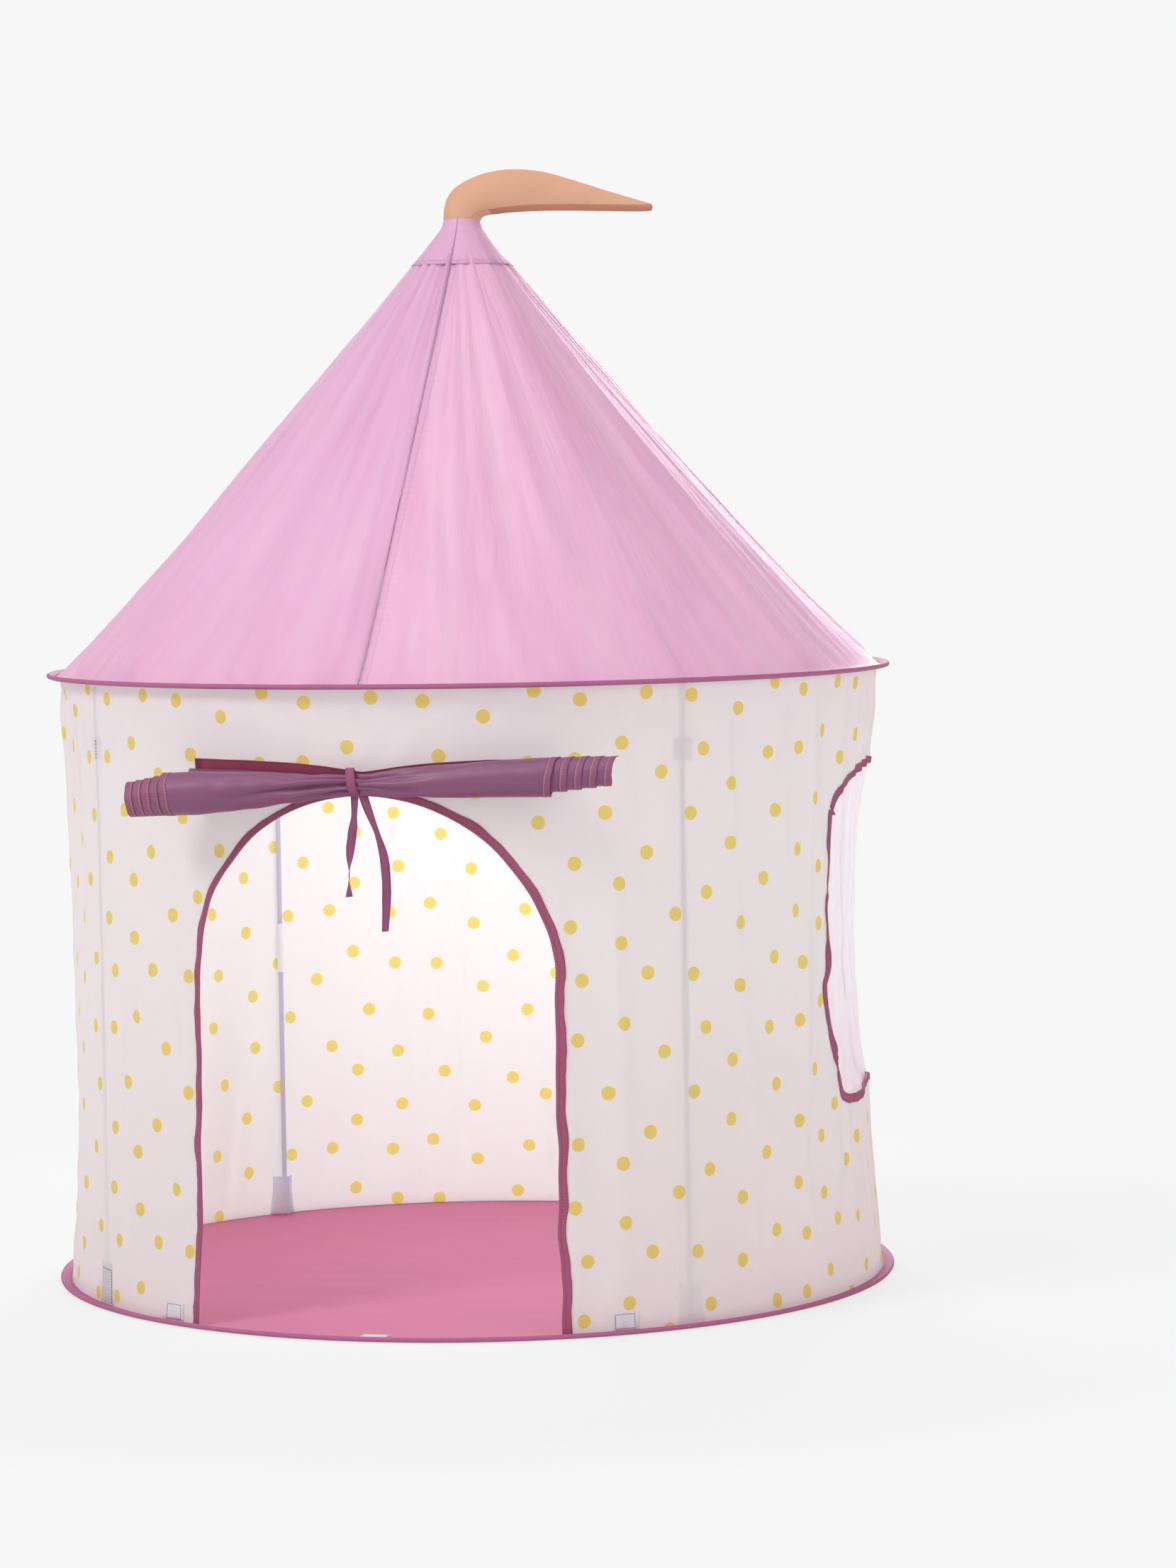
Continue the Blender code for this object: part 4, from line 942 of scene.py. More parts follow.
def makeWall():
    span = math.pi * wall["flatRadius"]
    total = 2 * wall["closeRows"] + wall["middleRows"] + 2

    def place(column, row):
        return span * (2.0 * column / wall["columns"] - 1.0), wallRow(row, total), 0.0

    bm = gridSheet(wall["columns"], total, place)
    cutOut(bm, doorEdge, wall["cutReach"])
    cutOut(bm, windowEdge, wall["cutReach"])
    uvMap = bm.loops.layers.uv["UVMap"]
    for face in bm.faces:
        for loop in face.loops:
            loop[uvMap].uv = printUv(loop.vert.co.x, loop.vert.co.y)
    for vert in bm.verts:
        vert.co = wallSpot(vert.co.x, vert.co.y)
    bmesh.ops.remove_doubles(bm, verts=bm.verts, dist=2.0 * meshing["weld"])
    return finishPiece("wallCloth", bm, "wallPolyester", "tent", wall["thickness"])


# A folded tape over a cut edge, sewn through both its sides
binding = {
    # shares of the width in from the fold, and heights off the wall's cloth
    "profile": (
        (1.0, 0.0009), (0.66, 0.00105), (0.33, 0.00115), (0.0, 0.0010), (-0.13, 0.0006), (-0.16, -0.0004),
        (-0.12, -0.0014), (0.0, -0.0017), (0.5, -0.0017), (1.0, -0.0015), (1.0, -0.0009), (0.5, -0.0010),
        (-0.02, -0.0010), (-0.05, -0.0003), (-0.02, 0.0003), (0.5, 0.0003), (1.0, 0.0003),
    ),
    "outside": 0.0005,
    "waverShares": (0.26, 0.12),
    "ruffle": 0.0009,
    "fineRuffle": 0.0005,
    "doorLeanShare": 0.22,
    "foldLeanShare": -0.72,
    "foldHeights": (0.395, 0.520),
    "foldEase": 0.02,
    "aboveFoot": -0.0002,
}


def makeBinding(name, line, closed, seed, width, node):
    frames = pathFrames(line, closed=closed)
    profile = binding["profile"]
    columns = len(frames) if closed else len(frames) - 1
    lowest = door["foot"] + binding["aboveFoot"]
    foldLow, foldHigh = binding["foldHeights"]

    def place(column, row):
        (x, height), (outX, outY), run = frames[column % len(frames)]
        share, lift = profile[row % len(profile)]
        broad, fine = binding["waverShares"]
        waver = broad * ripple(run * 30.0, seed, 2.0) + fine * ripple(run * 75.0, seed, 6.0)
        lean = binding["doorLeanShare"] * x / door["halfWidth"]
        if closed:
            # the window's side towards the door is half tucked under a fold of the wall
            tuck = binding["foldEase"]
            folded = ease((height - foldLow) / tuck) * ease((foldHigh - height) / tuck)
            doorSide = x < flatOf(0.0, window["atRadius"], window["middle"])
            lean = binding["foldLeanShare"] * folded if doorSide else 0.0
        reach = share * width * (1.0 + lean + waver * (1.0 if share > 0.5 else 0.4))
        if lift > binding["outside"]:
            ruffle = max(-0.4, ripple(run * 26.0, seed, 0.0)) * share
            fineRuffle = max(0.0, ripple(run * 110.0, share, seed))
            lift += binding["ruffle"] * ruffle + binding["fineRuffle"] * fineRuffle
        return wallSpot(x + outX * reach, max(lowest, height + outY * reach), lift)

    def uvAt(column, row):
        share = profile[row % len(profile)][0]
        return frames[column % len(frames)][2] + (0.0 if column < len(frames) else 0.003), share * width

    bm = gridSheet(columns, len(profile), place, uvAt, closeAcross=closed, closeUp=True)
    piece = finishPiece(name, bm, "edgeBinding", "tent", closed=True)
    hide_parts(node)


wallCloth = makeWall()
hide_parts("wall_cloth")
makeBinding("doorBinding", doorEdge, False, 1.7, door["tapeWidth"], "door_binding")
makeBinding("windowBinding", windowEdge, True, 4.9, window["tapeWidth"], "window_binding")
print("tent: wall, door and window edges made")


def makeNet():
    middle = math.radians(window["middle"]) * wall["flatRadius"]
    steps = window["netSteps"]

    def place(column, row):
        across = middle + window["netHalf"] * (2.0 * column / steps - 1.0)
        return across, window["netFoot"] + window["netTall"] * row / steps, 0.0

    bm = gridSheet(steps, steps, place)
    outline = windowLine(-window["netInset"])
    cutOut(bm, outline, window["netCutReach"], keepInside=True)
    uvMap = bm.loops.layers.uv["UVMap"]
    edge = np.array(outline)
    for face in bm.faces:
        for loop in face.loops:
            loop[uvMap].uv = (loop.vert.co.x, loop.vert.co.y)
    for vert in bm.verts:
        x, height = vert.co.x, vert.co.y
        away = float(np.min(np.hypot(edge[:, 0] - x, edge[:, 1] - height)))
        slack = window["netSag"] * (1.0 - math.exp(-away / window["netSagSpread"]))
        fold = 0.0
        for wide, tall, seed, depth in window["netFolds"]:
            fold += depth * ripple(x * wide, height * tall, seed)
        vert.co = wallSpot(x, height, window["netOffset"] - slack + fold * ease(away / 0.03))
    return finishPiece("windowNet", bm, "windowTulle", "tent", 0.0002)


windowNet = makeNet()
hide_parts("window_mesh")

# Ring tapes: folded round the steel hoops and sewn to the cloths' hems
brims = {
    "steps": 360,
    "wireInset": 0.0033,
    "fold": 0.0027,
    "tape": 0.0004,
    "outerBend": (110.0, 8),
    "innerBend": (108.0, 6),
    # corners in from the tape's inner edge and up from its foot: outside above, outside below, inside below
    "above": ((0.0, 0.0033), (0.004, 0.0037)),
    "below": ((0.004, 0.0001), (0.0, 0.0)),
    "insideBelow": ((0.0, 0.0006), (0.004, 0.0006)),
    "insideAbove": ((0.004, 0.0031), (0.0, 0.0028)),
    "edgeWaver": 0.0009,
    "edgeLift": 0.0006,
    "ripple": 0.0003,
    "base": {"inner": 0.4847, "ring": tent["baseRing"], "foot": 0.0, "seed": 2.0},
    "eave": {"inner": 0.4882, "ring": tent["eaveRing"], "foot": tent["eaveHeight"], "seed": 6.0},
}


def brimProfile(look):
    wire, middle = look["ring"] - brims["wireInset"], look["foot"] + brims["wireInset"]

    def corners(name):
        return [(look["inner"] + over, look["foot"] + up) for over, up in brims[name]]

    def bend(limit, steps, radius, side):
        turns = [math.radians(side * (limit - 2.0 * limit * step / steps)) for step in range(steps + 1)]
        return [(wire + radius * math.cos(turn), middle + radius * math.sin(turn)) for turn in turns]

    outer = corners("above") + bend(*brims["outerBend"], brims["fold"], 1.0) + corners("below")
    inner = bend(*brims["innerBend"], brims["fold"] - brims["tape"], -1.0)
    return outer + corners("insideBelow") + inner + corners("insideAbove")


def makeBrim(name, look, node):
    profile = brimProfile(look)
    seed = look["seed"]
    last = len(profile) - 1

    def place(column, row):
        bearing = 360.0 * column / brims["steps"] - 180.0
        run = math.radians(bearing)
        radius, height = profile[row]
        wave = ripple(math.cos(run) * 9.0 + seed, math.sin(run) * 9.0, 0.5)
        fine = ripple(math.cos(run) * 42.0, math.sin(run) * 42.0, seed)
        if row in (0, 1, last, last - 1):
            radius += brims["edgeWaver"] * fine * (1.0 if row in (0, last) else 0.4)
            height += brims["edgeLift"] * max(0.0, fine) if row < 2 else 0.0
        elif 2 <= row <= 9:
            radius += brims["ripple"] * fine
            height += brims["ripple"] * max(0.0, fine + wave) if row < 6 else 0.0
        return atBearing(bearing, radius, max(look["foot"], height))

    def uvAt(column, row):
        place = profile[row % len(profile)][0]
        return 2.0 * math.pi * 0.49 * column / brims["steps"], place - look["inner"]

    bm = gridSheet(brims["steps"], len(profile), place, uvAt, closeAcross=True, closeUp=True)
    piece = finishPiece(name, bm, "ringTape", "tent", closed=True)
    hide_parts(node)


makeBrim("baseBrimTape", brims["base"], "base_brim")
makeBrim("eaveBrimTape", brims["eave"], "eave_brim")

# Floor: a round sheet lying flat, with fine wrinkles and its hem lifted into the base ring
floorSheet = {
    "rings": 64,
    "spokes": 220,
    "edge": 0.4912,
    "flat": 0.4740,
    "lift": 0.0009,
    "liftReach": 0.009,
    "thickness": 0.0006,
    "wrinkle": 0.0016,
    "wrinkleEdge": 0.462,
    "calmReach": 0.05,
    "padMiddle": -0.463,
}


def floorTop(x, y):
    radius = math.hypot(x, y)
    long = ripple(x * 5.0, y * 26.0, 3.3) + 0.6 * ripple(x * 14.0 + y * 3.0, y * 52.0, 8.1)
    wide = ripple(x * 4.0, y * 5.0, 1.1)
    raised = floorSheet["wrinkle"] * max(0.0, 0.35 + 0.75 * long + 0.5 * wide)
    calm = ease((floorSheet["wrinkleEdge"] - radius) / floorSheet["calmReach"])
    calm *= ease(math.hypot(x, y - floorSheet["padMiddle"]) / floorSheet["calmReach"] - 0.4)
    lifted = floorSheet["lift"] * ease((radius - floorSheet["flat"]) / floorSheet["liftReach"])
    return floorSheet["thickness"] + raised * calm + lifted


def makeFloor():
    rings, spokes = floorSheet["rings"], floorSheet["spokes"]

    def place(column, row):
        radius = floorSheet["edge"] * row / rings
        spot = atBearing(-360.0 * column / spokes, radius, 0.0)
        spot.z = floorTop(spot.x, spot.y)
        return spot

    def uvAt(column, row):
        spot = atBearing(-360.0 * column / spokes, floorSheet["edge"] * row / rings, 0.0)
        return spot.x, spot.y

    bm = gridSheet(spokes, rings, place, uvAt, closeAcross=True)
    return finishPiece("floorCloth", bm, "floorPolyester", "tent",
                       floorSheet["thickness"])


floorCloth = makeFloor()
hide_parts("floor_sheet")
print("tent: net, ring tapes and floor made")

# Fastener pads: two sewn on the outside of the wall and one on the floor, where the door's foot closes
pads = {
    "left": {"across": (-0.2578, -0.2332), "foot": 0.0040, "top": 0.0232, "tilt": 0.0006, "seed": 1.0},
    "right": {"across": (0.2575, 0.2822), "foot": 0.0040, "top": 0.0230, "tilt": -0.0004, "seed": 5.0},
    "floor": {"half": 0.0150, "near": -0.4700, "far": -0.4560, "frayed": 0.0012, "ragged": 0.0005},
    "thickness": 0.0008,
    "steps": (16, 12),
    "floorSteps": (18, 10),
    "ragged": 0.0006,
    "bulge": 0.0004,
    "dents": 0.0002,
    "lift": 0.0003,
}


def makeWallPad(name, look, node):
    wide, tall = pads["steps"]
    left, right = (flatOf(x, tent["wallEnd"]) for x in look["across"])
    foot, top, tilt, seed = look["foot"], look["top"], look["tilt"], look["seed"]
    lowCorners = ((left, foot), (right, foot + tilt))
    highCorners = ((left - tilt, top), (right - tilt, top + tilt))

    def flat(column, row):
        across, up = column / wide, row / tall
        low = [a + (b - a) * across for a, b in zip(*lowCorners)]
        high = [a + (b - a) * across for a, b in zip(*highCorners)]
        return [a + (b - a) * up for a, b in zip(low, high)]

    def place(column, row):
        x, height = flat(column, row)
        edge = 1.0 if column in (0, wide) or row in (0, tall) else 0.0
        x += pads["ragged"] * edge * ripple(height * 300.0, x * 90.0, seed)
        height += pads["ragged"] * edge * ripple(x * 300.0, height * 90.0, seed + 3.0)
        bulge = pads["bulge"] * (1.0 - edge) + pads["dents"] * ripple(x * 90.0, height * 90.0, seed)
        return wallSpot(x, height, pads["lift"] + pads["thickness"] + max(0.0, bulge))

    def uvAt(column, row):
        x, height = flat(column, row)
        return x - left, height - foot

    bm = gridSheet(wide, tall, place, uvAt)
    piece = finishPiece(name, bm, "wallPadFastener", "tent", pads["thickness"])
    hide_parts(node)


def makeFloorPad():
    look = pads["floor"]
    wide, tall = pads["floorSteps"]
    length = look["far"] - look["near"]

    def place(column, row):
        x = look["half"] * (2.0 * column / wide - 1.0)
        y = look["near"] + length * row / tall
        if row == tall:
            y += look["frayed"] * ripple(x * 420.0, 0.0, 3.0)
        if column in (0, wide):
            x += look["ragged"] * ripple(y * 300.0, 1.0, 4.0)
        return Vector((x, y, floorTop(x, y) + pads["lift"] + pads["thickness"]))

    def uvAt(column, row):
        return 2.0 * look["half"] * column / wide, length * row / tall

    bm = gridSheet(wide, tall, place, uvAt)
    piece = finishPiece("floorPadTape", bm, "floorPadFastener", "tent", pads["thickness"])
    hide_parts("floor_pad")


makeWallPad("leftWallPad", pads["left"], "left_wall_pad")
makeWallPad("rightWallPad", pads["right"], "right_wall_pad")
makeFloorPad()

# Header tape: across the door's crown, pulled down a little where the roll is tied
header = {
    "half": 0.2043,
    "top": 0.6362,
    "width": 0.0125,
    "dip": 0.0125,
    "spread": 0.062,
    "steps": 150,
    "atRadius": 0.4760,
    # shares of the width up from the lower edge, and heights off the wall's cloth
    "profile": ((1.0, 0.0009), (0.66, 0.0010), (0.33, 0.0010), (0.0, 0.0009), (0.0, 0.0003), (1.0, 0.0003)),
    "puff": 0.0003,
    "waver": 0.0004,
}


def headerTop(x):
    return header["top"] - header["dip"] * math.exp(-(abs(x) / header["spread"]) ** 1.3)


def makeHeader():
    steps, profile = header["steps"], header["profile"]

    def spot(column):
        x = header["half"] * (2.0 * column / steps - 1.0)
        return x, flatOf(x, header["atRadius"])

    def place(column, row):
        x, across = spot(column)
        share, lift = profile[row % len(profile)]
        if lift > 0.0005:
            lift += header["puff"] * max(0.0, ripple(x * 90.0, share * 2.0, 2.0))
        height = headerTop(x) - header["width"] * (1.0 - share)
        height += header["waver"] * ripple(x * 40.0, share, 5.0)
        return wallSpot(across, height, lift)

    def uvAt(column, row):
        return spot(column)[0] + header["half"], header["width"] * profile[row % len(profile)][0]

    bm = gridSheet(steps, len(profile), place, uvAt, closeUp=True)
    piece = finishPiece("headerTapeStrip", bm, "headerTapeCloth", "tent", closed=True)
    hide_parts("header_tape")


makeHeader()
print("tent: pads and header tape made")

# Door flap, rolled up from its foot: it hangs from the header, passes behind the roll, and winds in
flap = {
    "axisY": -0.4915,
    "axisZ": 0.6115,
    "rise": 0.040,
    "top": 0.2075,
    "bottom": 0.2765,
    "length": 0.64,
    "leadLength": 0.06,
    "leadSeat": 0.0016,
    "leadBelly": 0.0016,
    "turns": 4.7,
    "columns": 150,
    "steps": 200,
    "thickness": 0.00035,
    "outer": ((-0.30, 0.0262), (-0.19, 0.0262), (-0.15, 0.0243), (-0.12, 0.0218), (-0.076, 0.0172),
              (-0.042, 0.0134), (-0.012, 0.0104), (0.012, 0.0104), (0.030, 0.0132), (0.05, 0.0158),
              (0.09, 0.0186), (0.17, 0.0205), (0.215, 0.0215), (0.30, 0.0212)),
    "centre": ((-0.29, -1.0), (-0.15, -0.9), (0.0, 0.0), (0.15, 0.5), (0.29, 0.6)),
    "firstDrop": 0.15,
    "turnDrop": 0.036,
    "undersideAngle": -30.0,
    "undersideTurns": 0.6,
    "shift": 0.014,
    "dents": 0.0007,
    "ragged": 0.0012,
    "pleats": 7.0,
    "pleatDepth": 0.62,
    "pinchPleat": (0.26, 0.034),
    "longPleat": (0.05, 0.10),
    "folds": (
        # angle beside the tie and at the far end, far end's place, half width in degrees, depth as a share
        (-182.0, -158.0, -0.170, 9.0, -0.40), (-208.0, -192.0, -0.135, 8.0, 0.20),
        (-232.0, -246.0, -0.130, 14.0, -0.42), (-142.0, -112.0, -0.120, 9.0, -0.30),
        (-160.0, -140.0, -0.100, 7.0, 0.18), (-194.0, -206.0, 0.110, 8.0, -0.30),
        (-160.0, -136.0, 0.090, 10.0, -0.32), (-226.0, -244.0, 0.140, 13.0, -0.40),
        (-176.0, -178.0, 0.080, 7.0, 0.18), (-200.0, -140.0, -0.200, 6.0, -0.20),
    ),
    "tapeWidth": 0.0086,
    "tapeSteps": 4,
    "tapeLift": 0.00038,
    "leadRows": 14,
}


def layerShare(turns):
    # how far out a layer lies, as a share of the outermost
    first = 1.0 - flap["firstDrop"] * ease(min(1.0, turns))
    return first - flap["turnDrop"] * max(0.0, turns - 1.0)


def leadStart(x):
    across = flatOf(max(-0.235, min(0.235, x)), header["atRadius"])
    height = headerTop(x) - header["width"] + 0.0012
    return wallSpot(across, height, flap["leadSeat"])


def rollStart(x):
    # the angle, from straight back and up, where the hanging cloth first meets the roll
    outer = along(flap["outer"], x)
    top = leadStart(x)
    back, up = top.y - flap["axisY"], top.z - (flap["axisZ"] + flap["rise"] * x)
    distance = math.hypot(back, up)
    return math.degrees(math.atan2(up, back)) - math.degrees(math.acos(min(1.0, outer / distance)))


def rollSpot(x, turns, lift=0.0):
    outer = along(flap["outer"], x)
    atStart = ease(1.0 - turns / flap["undersideTurns"])
    start = rollStart(x) * atStart + flap["undersideAngle"] * (1.0 - atStart)
    angle = math.radians(start - 360.0 * turns)
    share = layerShare(turns)
    deep, spread = flap["pinchPleat"]
    wide, reach = flap["longPleat"]
    pleat = deep * math.exp(-(abs(x) / spread) ** 1.2) + wide * math.exp(-abs(x) / reach)
    wander = angle + 0.9 * ripple(x * 12.0, 0.0, 2.0) + x * 5.0
    fold = math.cos(flap["pleats"] * wander) + 0.5 * math.cos((flap["pleats"] - 3.0) * wander + 1.0)
    crease = 0.0
    around = math.degrees(angle)
    for near, far, end, width, depth in flap["folds"]:
        place = x / end
        if 0.0 < place < 1.0:
            away = turnTo(around, near + (far - near) * place) / (width * (1.0 + 0.6 * place))
            fade = ease(place / 0.07) * (1.0 - ease((place - 0.2) / 0.8))
            crease += depth * math.exp(-away * away) * fade
    settled = ease((abs(turns) + 0.02) / 0.12)
    radius = outer * share * (1.0 + (flap["pleatDepth"] * pleat * fold + crease) * settled)
    radius += flap["dents"] * ripple(x * 22.0, math.cos(angle) * 1.6, math.sin(angle) * 1.6)
    radius += lift
    drop = along(flap["centre"], x) * outer * (1.0 - share) * 0.9
    middle = flap["axisZ"] + flap["rise"] * x + drop
    return Vector((x, flap["axisY"] + radius * math.cos(angle), middle + radius * math.sin(angle)))


rolledLength = flap["length"] - flap["leadLength"]


def flapHalf(turns):
    # half the flap's width at a number of turns in from where it meets the roll
    done = flap["leadLength"] + rolledLength * turns / flap["turns"]
    return flap["top"] + (flap["bottom"] - flap["top"]) * done / flap["length"]


def flapX(share, turns):
    half = flapHalf(turns)
    edge = flap["ragged"] * ripple(turns * 7.0, 3.0 if share > 0 else 8.0) * abs(share) ** 6
    shift = flap["shift"] * turns / flap["turns"]
    return half * share + shift + edge - 0.0005


def makeRoll():
    def place(column, row):
        turns = flap["turns"] * row / flap["steps"]
        return rollSpot(flapX(1.0 - 2.0 * column / flap["columns"], turns), turns)

    def uvAt(column, row):
        turns = flap["turns"] * row / flap["steps"]
        return flapX(1.0 - 2.0 * column / flap["columns"], turns), rolledLength * row / flap["steps"]

    bm = gridSheet(flap["columns"], flap["steps"], place, uvAt)
    piece = finishPiece("doorFlapRoll", bm, "doorPolyester", "rolled_door",
                        flap["thickness"])
    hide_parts("door_roll")
    return piece


def makeFlapTape(name, side):
    # the binding along one side of the flap, wound in with it
    wide = flap["tapeSteps"]

    def spot(column, row):
        turns = 0.02 + (flap["turns"] - 0.04) * row / flap["steps"]
        inwards = flap["tapeWidth"] * (column / wide if side > 0 else 1.0 - column / wide)
        x = flapX(side, turns) - side * inwards + side * 0.0003
        return x, turns, inwards

    def place(column, row):
        x, turns = spot(column, row)[:2]
        return rollSpot(x, turns, flap["tapeLift"])

    def uvAt(column, row):
        return rolledLength * row / flap["steps"], spot(column, row)[2]

    bm = gridSheet(wide, flap["steps"], place, uvAt)
    finishPiece(name, bm, "flapEdgeTape", "rolled_door", 0.0003)


def makeLead():
    # the cloth between the header and the roll, which folds as the roll is lifted
    columns, rows = flap["columns"], flap["leadRows"]

    def place(column, row):
        share = 1.0 - 2.0 * column / columns
        x = flapX(share, 0.0)
        top = leadStart(x * 0.985)
        foot = rollSpot(x, 0.0)
        t = row / rows
        spot = top.lerp(foot, t)
        belly = math.sin(math.pi * t)
        spot.z -= flap["leadBelly"] * belly * (0.4 + 8.0 * abs(x))
        spot.y += 0.0008 * belly * ripple(x * 45.0, t, 3.0)
        return spot

    def uvAt(column, row):
        return flapX(1.0 - 2.0 * column / columns, 0.0), flap["leadLength"] * (row / rows - 1.0)

    bm = gridSheet(columns, rows, place, uvAt)
    return finishPiece("doorFlapLead", bm, "doorPolyester", None, flap["thickness"])


doorRoll = makeRoll()
makeFlapTape("doorFlapLeftTape", -1.0)
makeFlapTape("doorFlapRightTape", 1.0)
doorLead = makeLead()
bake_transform(doorLead)
print("tent: rolled door flap made")

# Tie: a loop round the roll and its two hanging tails
tie = {
    "width": 0.0104,
    "inner": 0.0122,
    "rise": 0.0172,
    "clear": 0.0006,
    "thickness": 0.0005,
    "steps": 72,
    "wide": 6,
    "middle": -0.0048,
    "lean": (0.0010, -0.0040),
    "pinch": (0.28, 2.2, 0.9),
    "crumple": 0.0005,
    "ribbon": 0.0095,
    "tailWidth": 0.0100,
    "tailWide": 4,
    "tailCup": 0.0006,
    "tailFront": 0.0005,
    "short": {
        "path": ((-0.0040, 0.6000), (-0.0052, 0.575), (-0.0080, 0.555), (-0.0105, 0.535), (-0.0120, 0.512),
                 (-0.0122, 0.4885)),
        "turn": (15.0, 35.0, -25.0, 20.0, 78.0, 25.0),
        "seed": 2.0,
    },
    "long": {
        "path": ((0.0050, 0.6000), (0.0120, 0.580), (0.0205, 0.558), (0.0275, 0.533), (0.0300, 0.505),
                 (0.0295, 0.478), (0.0277, 0.4510)),
        "turn": (-20.0, 15.0, 40.0, 5.0, -35.0, 10.0, 30.0),
        "seed": 7.0,
    },
}


def makeTieLoop():
    steps, wide = tie["steps"], tie["wide"]
    pinch, pinchAt, pinchSpread = tie["pinch"]
    swing, lean = tie["lean"]

    def place(column, row):
        angle = 2.0 * math.pi * column / steps
        across = row / wide - 0.5
        crumple = tie["crumple"] * ripple(math.cos(angle) * 3.0, math.sin(angle) * 3.0, across * 3.0)
        up = tie["rise"] if math.sin(angle) > 0.0 else tie["inner"]
        narrow = 1.0 - pinch * math.exp(-((angle - pinchAt) / pinchSpread) ** 2)
        x = across * tie["width"] * narrow + tie["middle"]
        x += swing * math.sin(angle * 2.0) + lean * math.sin(angle)
        radius = tie["inner"] + tie["clear"] + crumple
        height = flap["axisZ"] + (up + tie["clear"]) * math.sin(angle)
        return Vector((x, flap["axisY"] - radius * math.cos(angle), height))

    def uvAt(column, row):
        return 0.0016 * column, tie["ribbon"] * row / wide

    bm = gridSheet(steps, wide, place, uvAt, closeAcross=True)
    piece = finishPiece("tieLoopRibbon", bm, "tieRibbon", "rolled_door",
                        tie["thickness"], 1.0)
    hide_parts("tie_loop")


def makeTail(name, look, body, node):
    path = smoothLine([(x, height, turn) for (x, height), turn in zip(look["path"], look["turn"])], 9)
    steps, wide = len(path) - 1, tie["tailWide"]

    def place(column, row):
        x, height, turn = path[column]
        turned = math.radians(turn)
        across = (row / wide - 0.5) * tie["tailWidth"]
        hollow = 1.0 - (2.0 * row / wide - 1.0) ** 2
        cup = tie["tailCup"] * hollow * math.sin(height * 90.0 + look["seed"])
        depth = across * math.sin(turned) + cup * math.cos(turned)
        x += across * math.cos(turned) - cup * math.sin(turned)
        return Vector((x, flap["axisY"] - tie["tailFront"] - depth, height + across * 0.12))

    def uvAt(column, row):
        return 0.0026 * column, tie["ribbon"] * row / wide

    bm = gridSheet(steps, wide, place, uvAt)
    piece = finishPiece(name, bm, "tieRibbon", body, tie["thickness"], 0.0)
    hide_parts(node)
    return piece


makeTieLoop()
shortTail = makeTail("shortTieRibbon", tie["short"], "short_tail", "short_tie_tail")
longTail = makeTail("longTieRibbon", tie["long"], "long_tail", "long_tie_tail")

# Roof: two panels sewn at the front and the back, and a small cap over their tops
roof = {
    "columns": 150,
    "rows": 120,
    "crowd": 0.115,
    "top": 0.985,
    "hem": 0.0060,
    "thickness": 0.0006,
    "lap": -0.0014,
    "slope": 0.7003,
    "stitchRun": 0.70,
    "uvShift": 2.0,
    "capSteps": 200,
    "capRows": 22,
    "capTurnRows": 5,
    "capDepth": 0.047,
    "capOffset": 0.0011,
    "capClear": 0.0003,
    "capRise": 0.0172,
    "capWaver": 0.0009,
    "capLength": 0.062,
    "waves": ((8.0, 1.0, 1.3, 4.0, 0.0110), (20.0, 3.0, 2.2, 9.0, 0.0046)),
    "busySides": (1.5, 0.8),
    "busyBearing": -70.0,
    "crumple": 0.0005,
    "foldScale": 1.5,
    "footPucker": 0.0006,
    "footPuckerPitch": 0.015,
    "seamPucker": 0.0008,
    "seamSink": 0.0007,
    "seamPuckerPitch": 0.0165,
    "seamReach": 0.017,
    # bearing, half width in degrees, depth, and the shares of the slope where each fold starts and ends
    "folds": (
        (-9.0, 3.4, -0.0050, 0.05, 0.92), (-17.0, 4.5, 0.0034, 0.10, 0.90), (-27.0, 5.0, -0.0030, 0.05, 0.80),
        (-36.0, 4.5, 0.0020, 0.00, 0.75), (-62.0, 6.0, -0.0030, 0.00, 0.75), (-80.0, 7.0, 0.0026, 0.05, 0.80),
        (-104.0, 7.0, -0.0028, 0.0, 0.7), (9.0, 4.0, 0.0022, 0.10, 0.95), (18.0, 5.0, -0.0024, 0.05, 0.75),
        (30.0, 5.0, 0.0018, 0.05, 0.80), (58.0, 6.0, -0.0028, 0.0, 0.8), (76.0, 7.0, 0.0022, 0.1, 0.9),
        (100.0, 8.0, -0.0026, 0.0, 0.7), (120.0, 6.0, 0.0016, 0.1, 0.8), (150.0, 6.0, -0.0030, 0.05, 0.85),
        (168.0, 5.0, 0.0026, 0.05, 0.9), (-150.0, 6.0, 0.0026, 0.0, 0.8), (-168.0, 5.0, -0.0030, 0.1, 0.9),
    ),
}


